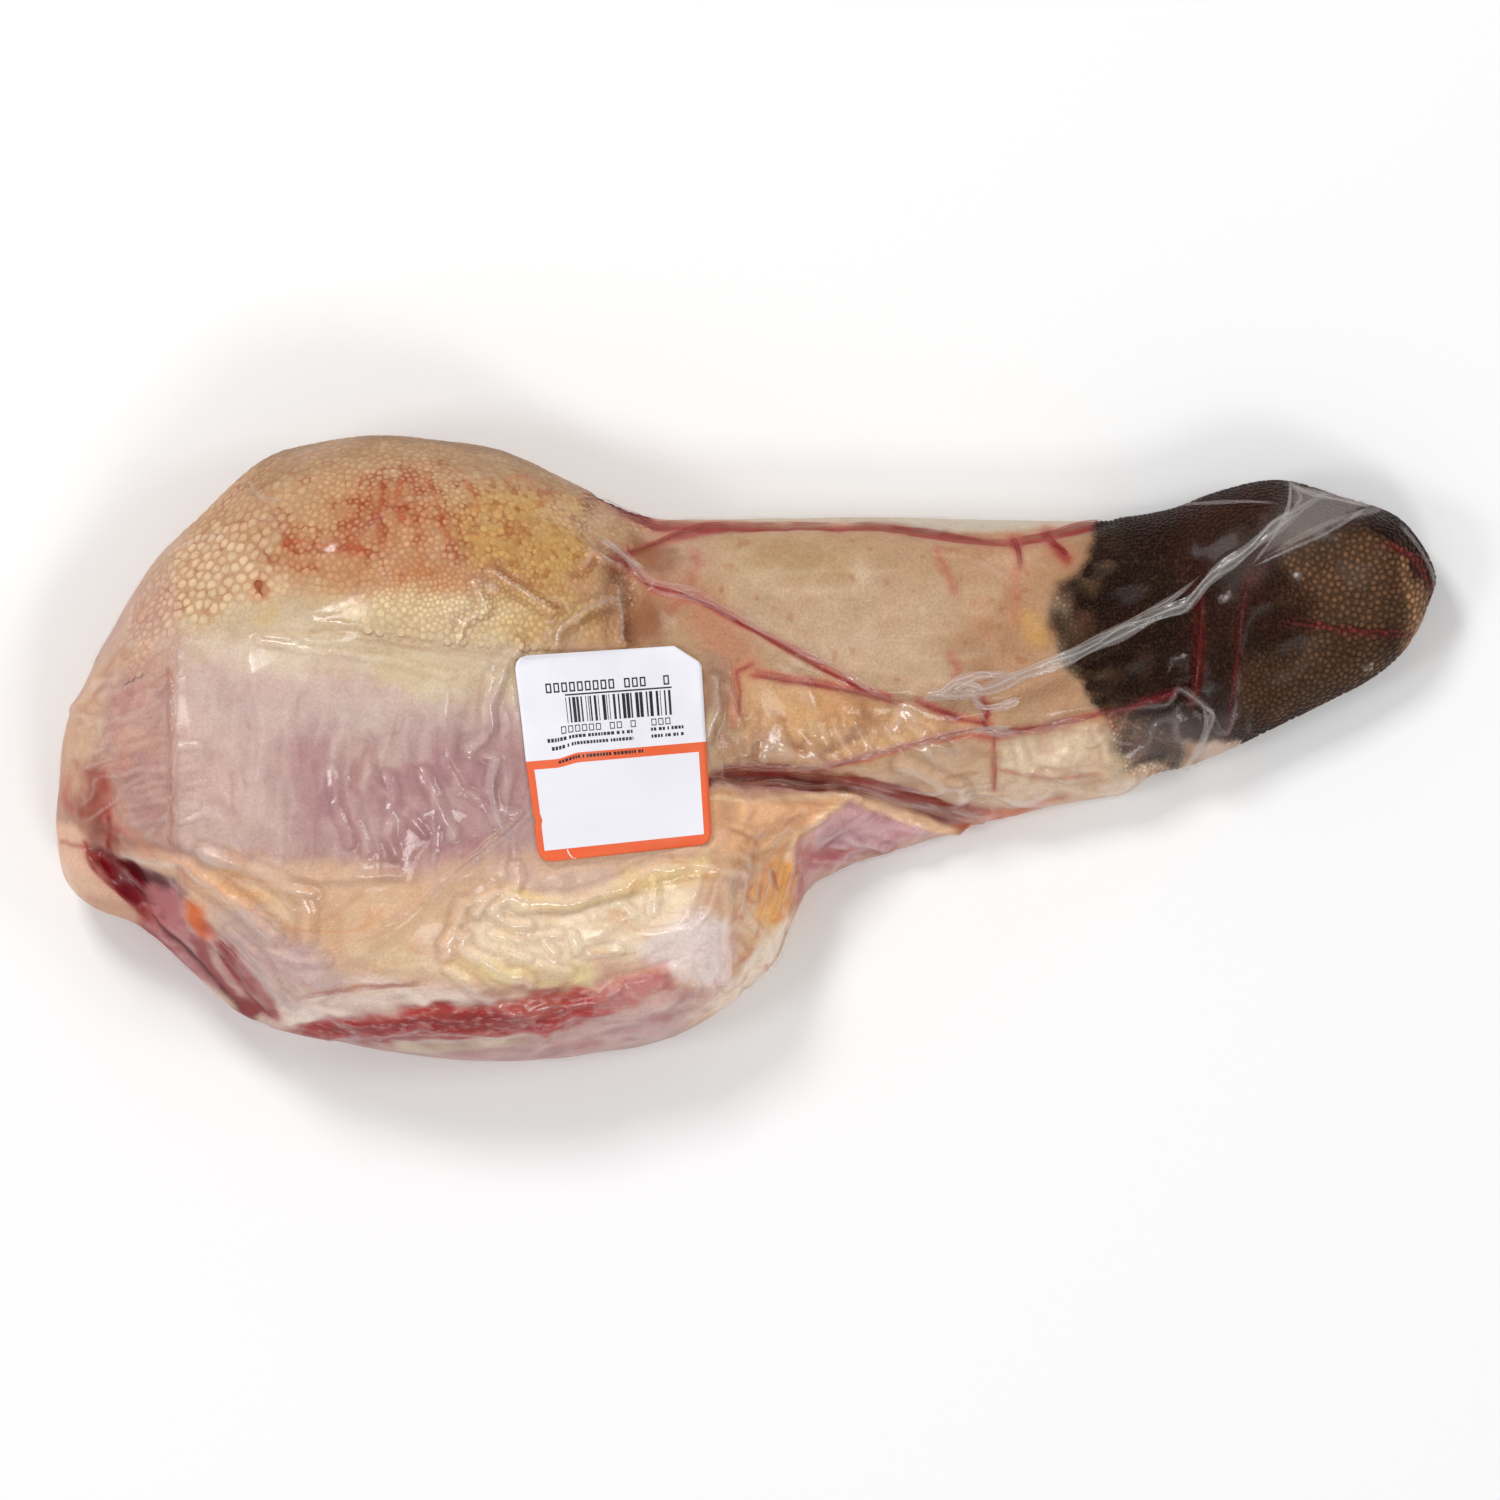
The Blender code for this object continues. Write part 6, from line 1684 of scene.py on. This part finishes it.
pleat(0.9, 0.3, 0.4, [(143.5, 56), (134, 50), (125, 46), (116.5, 42)], tint=(200, 190, 186), shine=1.0)
pleat(1.6, 0.5, 0.35, [(-9.5, -6), (-1.5, -8), (6.5, -7.5), (14.5, -8.5), (22.5, -8.5)], twist=0.5,
    tint=(222, 176, 150), shine=0.9)
pleat(1.2, 0.4, 0.3, [(-2.5, -10), (5.5, -10), (12.5, -11), (19, -13)], twist=0.6, tint=(214, 160, 130),
    shine=0.8)
pleat(1.4, 0.45, 0.35, [(24, -9.5), (32, -11.5), (40, -13.5), (49, -16), (56, -16.5)], twist=0.5,
    tint=(226, 184, 160), shine=0.9)
pleat(1.0, 0.35, 0.3, [(3, -11.5), (12.5, -13), (24, -14.5)], tint=(240, 190, 150))
print(len(pleat_points), "pleats")

# %% [markdown]
# The lines of blood are strips of the same kind as the pleats, only narrower and flatter.

# %% Lines of blood in the folds
LINE_RED = (140, 26, 34)
for width, strength, path in BLOOD_LINES:
    pleat(0.8 * width, 0.08, strength, path, tint=LINE_RED, even=0.3, shine=0.2, patchy=0.6)
piece("film_pleats", np.concatenate(pleat_points), np.array(pleat_faces), clear_film,
      {"milk": np.concatenate(pleat_milk), "shine": np.concatenate(pleat_shine)})

# %% [markdown]
# ## The price label
#
# The label is a slip of glossy paper, printed with an orange frame round a pale window, and bars
# above it. An image would be the usual way. Here the paper is a grid with a line at each edge of
# the print, and each square of the grid gets the material of its ink. The print is plain dashes
# and open boxes, and its bars follow a simple random rule.

# %% Plan the print
LABEL_ROUND = 3.0                     # mm, radius of the corners
LABEL_WIDE = 42.5
LABEL_TALL = 47.0
PAPER, ORANGE, WINDOW, INK = range(4)
ink = [(0, 1, 0, 1, PAPER), (0, 1, 0.487, 1, ORANGE), (0.04, 0.955, 0.535, 0.945, WINDOW)]
marks = np.random.default_rng(5)


def dashes(start, end, high, low, longest):
    """A row of short dashes, for the small print."""
    u = start
    while u < end:
        wide = longest * (0.5 + 0.5 * marks.random())
        ink.append((u, min(u + wide, end), high, low, INK))
        u += wide + longest * (0.25 + 0.5 * (marks.random() < 0.2))


def boxes(start, end, high, low, count, stroke):
    """A row of open boxes, for the large print."""
    pitch = (end - start) / count
    for n in range(count):
        if marks.random() < 0.86:
            a, b = start + n * pitch, start + (n + 0.74) * pitch
            ink.append((a, b, high, low, INK))
            ink.append((a + stroke, b - stroke, high + stroke, low - stroke, PAPER))


boxes(0.15, 0.83, 0.142, 0.190, 16, 0.008)
boxes(0.21, 0.82, 0.352, 0.386, 16, 0.005)
ink.append((0.25, 0.83, 0.200, 0.208, INK))
u = 0.25
while u < 0.82:
    wide = 0.0045 * marks.integers(1, 5)
    ink.append((u, u + wide, 0.216, 0.340, INK))
    u += wide + 0.0045 * marks.integers(1, 5)
dashes(0.13, 0.60, 0.398, 0.414, 0.018)
dashes(0.70, 0.88, 0.396, 0.412, 0.018)
dashes(0.15, 0.60, 0.432, 0.448, 0.018)
dashes(0.70, 0.88, 0.430, 0.446, 0.018)
dashes(0.18, 0.66, 0.498, 0.514, 0.018)
ink.append((0.165, 0.172, 0.95, 1.0, PAPER))


def grid_lines(edges, widest):
    """All edges in order, with more lines between those that lie far apart."""
    edges = sorted({round(e, 4) for e in edges})
    lines = []
    for a, b in zip(edges[:-1], edges[1:]):
        count = max(int(np.ceil((b - a) / widest)), 1)
        lines.extend(a + (b - a) * k / count for k in range(count))
    return np.array(lines + [edges[-1]])


us = grid_lines([e for mark in ink for e in mark[:2]], 0.03)
vs = grid_lines([e for mark in ink for e in mark[2:4]] + [0.01, 0.03, 0.06, 0.94, 0.97, 0.99], 0.03)
print("label grid", len(us), "by", len(vs), "lines")

# %% [markdown]
# The label is stiffer than the film, so it doesn't follow each wrinkle. A smooth surface, a
# polynomial of the fourth degree, is fitted to the film's heights below it. It was stuck on
# slightly crumpled: one short kink shows at its left side.

# %% Bend the label over the film
top_left, top_right, low_right, low_left = (np.array(c) for c in LABEL_CORNERS)


def round_inset(v):
    """How far the rounded corners pull a row in, in mm."""
    edge = LABEL_ROUND - min(v, 1 - v) * LABEL_TALL
    return LABEL_ROUND - math.sqrt(max(LABEL_ROUND ** 2 - max(edge, 0) ** 2, 0))


CUT_ALONG, CUT_DOWN = 6.0, 4.5        # mm, the corner that is cut off
plan = np.zeros((len(vs), len(us), 2))
for row, v in enumerate(vs):
    left = round_inset(v) + 0.5 * math.exp(-((v - 0.79) / 0.012) ** 2)
    right = max(round_inset(v), CUT_ALONG * max(1 - v * LABEL_TALL / CUT_DOWN, 0))
    for column, u in enumerate(us):
        share = (left + u * (LABEL_WIDE - left - right)) / LABEL_WIDE
        kink = 1.1 * ease((0.3 - u) / 0.14) * math.exp(-((v - 0.48) / 0.1) ** 2)
        high = top_left + (top_right - top_left) * share
        low = low_left + (low_right - low_left) * share
        plan[row, column] = high + (low - high) * v - (0, kink)
raw = np.array([[surface_height(x, y) for x, y in row] for row in plan], float)
across, down = np.meshgrid(us - 0.5, vs - 0.5)
curves = np.stack([(across ** i * down ** j).ravel() for i in range(5) for j in range(5 - i)], axis=1)
fit = np.linalg.lstsq(curves, raw.ravel(), rcond=None)[0]
heights = (curves @ fit).reshape(raw.shape)
LABEL_OVER_FILM = 0.15
LABEL_THICK = 0.15
heights += np.percentile(raw - heights, 98) + LABEL_OVER_FILM
print("label rises from", round(heights.min(), 1), "to", round(heights.max(), 1), "mm")

# %% [markdown]
# The front and the back are the same grid, a paper's thickness apart, and a rim closes the edge.

# %% Build the label
count_u, count_v = len(us), len(vs)
front = np.concatenate([plan, heights[:, :, None]], axis=2).reshape(-1, 3)
back = front - (0, 0, LABEL_THICK)
faces, inks = [], []
for row in range(count_v - 1):
    for column in range(count_u - 1):
        a = row * count_u + column
        b, c, d = a + 1, a + count_u + 1, a + count_u
        u, v = (us[column] + us[column + 1]) / 2, (vs[row] + vs[row + 1]) / 2
        printed = [m[4] for m in ink if m[0] < u < m[1] and m[2] < v < m[3]][-1]
        faces.append((a, d, c, b))
        inks.append(printed)
        faces.append(tuple(len(front) + k for k in (a, b, c, d)))
        inks.append(PAPER)
rim = ([k for k in range(count_u)] + [r * count_u + count_u - 1 for r in range(1, count_v)]
       + [(count_v - 1) * count_u + k for k in range(count_u - 2, -1, -1)]
       + [r * count_u for r in range(count_v - 2, 0, -1)])
for a, b in zip(rim, rim[1:] + rim[:1]):
    faces.append((a, b, len(front) + b, len(front) + a))
    inks.append(PAPER)
print("label:", len(faces), "faces")

# %% [markdown]
# The paper is smooth, with a faint tooth and slightly uneven white. The orange is a little worn,
# and the ink is a warm black that breaks up finely.

# %% Label materials
def print_material(name, colour, worn, rough_low, rough_high):
    """Paper or ink: a colour that goes slightly towards a second one, over a fine tooth."""
    material, nodes = new_material(name)
    place = add(nodes, "ShaderNodeTexCoord").outputs["Object"]
    cloudy = add(nodes, "ShaderNodeTexNoise", {"Vector": place, "Scale": 140.0, "Detail": 5.0})
    tooth = add(nodes, "ShaderNodeTexNoise", {"Vector": place, "Scale": 4000.0, "Detail": 2.0})
    share = rescale(nodes, cloudy.outputs["Fac"], 0.0, 1.0, 0.35, 0.75)
    shade = add(nodes, "ShaderNodeMix", {"Factor": share, "A": (*light(colour), 1.0),
                                         "B": (*light(worn), 1.0)}, data_type="RGBA").outputs["Result"]
    rough = rescale(nodes, tooth.outputs["Fac"], rough_low, rough_high)
    bump = add(nodes, "ShaderNodeBump", {"Height": tooth.outputs["Fac"], "Strength": 0.15,
                                         "Distance": 0.00005})
    body = add(nodes, "ShaderNodeBsdfPrincipled", {"Base Color": shade, "Roughness": rough, "IOR": 1.45,
                                                   "Normal": bump.outputs["Normal"]})
    add(nodes, "ShaderNodeOutputMaterial", {"Surface": body.outputs["BSDF"]})
    return material


paper = print_material("label paper", (246, 244, 251), (238, 236, 245), 0.35, 0.5)
orange = print_material("orange print", (242, 98, 52), (236, 110, 66), 0.3, 0.5)
window = print_material("window", (242, 241, 248), (239, 238, 246), 0.35, 0.5)
black = print_material("black print", (30, 27, 32), (58, 54, 60), 0.4, 0.6)
label = piece("label_sheet", np.concatenate([front, back]), np.array(faces), paper,
              stands_for="label")
for material in (orange, window, black):
    label.data.materials.append(material)
label.data.polygons.foreach_set("material_index", np.array(inks, np.int32))
label.data.update()
print("label materials:", [material.name for material in label.data.materials])

# %% [markdown]
# ## Floor and light
#
# A plain pale floor and soft light let the object speak. Four soft lamps stand round it at a
# slant, so that the flat film doesn't mirror them into the camera and only its wrinkles glint.
# The one behind is the strongest, and an evenly lit white room fills the shadows.

# %% Floor
FLOOR_SIDE = 3000.0                   # mm
FLOOR_BELOW = 0.2                     # mm under the pack, so that the two surfaces don't mix
floor_mesh = bpy.data.meshes.new("floor")
half = FLOOR_SIDE / 2 * MM
floor_mesh.from_pydata([(-half, -half, 0), (half, -half, 0), (half, half, 0), (-half, half, 0)],
                       [], [(0, 1, 2, 3)])
floor_paint, nodes = new_material("pale floor")
body = add(nodes, "ShaderNodeBsdfPrincipled", {"Base Color": (0.97, 0.97, 0.97, 1.0), "Roughness": 0.9,
                                               "Specular IOR Level": 0.1})
add(nodes, "ShaderNodeOutputMaterial", {"Surface": body.outputs["BSDF"]})
floor_mesh.materials.append(floor_paint)
floor = bpy.data.objects.new("floor", floor_mesh)
floor.location.z = -FLOOR_BELOW * MM
bpy.context.collection.objects.link(floor)
print("floor of", FLOOR_SIDE, "mm")

# %% Lights
ROOM_LIGHT = 0.42


def lamp(name, azimuth, elevation, away, side, power):
    """A square soft lamp that looks at the middle of the pack."""
    made = bpy.data.lights.new(name, "AREA")
    made.size = side
    made.energy = power
    shown = bpy.data.objects.new(name, made)
    turn, rise = math.radians(azimuth), math.radians(elevation)
    flat = math.cos(rise)
    spot = Vector((math.cos(turn) * flat, math.sin(turn) * flat, math.sin(rise))) * away
    shown.location = spot
    shown.rotation_euler = (-spot).to_track_quat("-Z", "Y").to_euler()
    bpy.context.collection.objects.link(shown)


lamp("front lamp", -70, 54, 2.0, 0.45, 6.0)
lamp("left lamp", 190, 50, 2.0, 0.45, 6.0)
lamp("right lamp", 10, 52, 2.0, 0.45, 4.5)
lamp("back lamp", 122, 50, 2.0, 0.45, 15.0)
world = bpy.data.worlds.new("room")
world.use_nodes = True
background = world.node_tree.nodes["Background"]
background.inputs["Color"].default_value = (1.0, 1.0, 1.0, 1.0)
background.inputs["Strength"].default_value = ROOM_LIGHT
bpy.context.scene.world = world
bpy.context.scene.view_settings.view_transform = "Standard"
print(len(bpy.data.lights), "lamps")
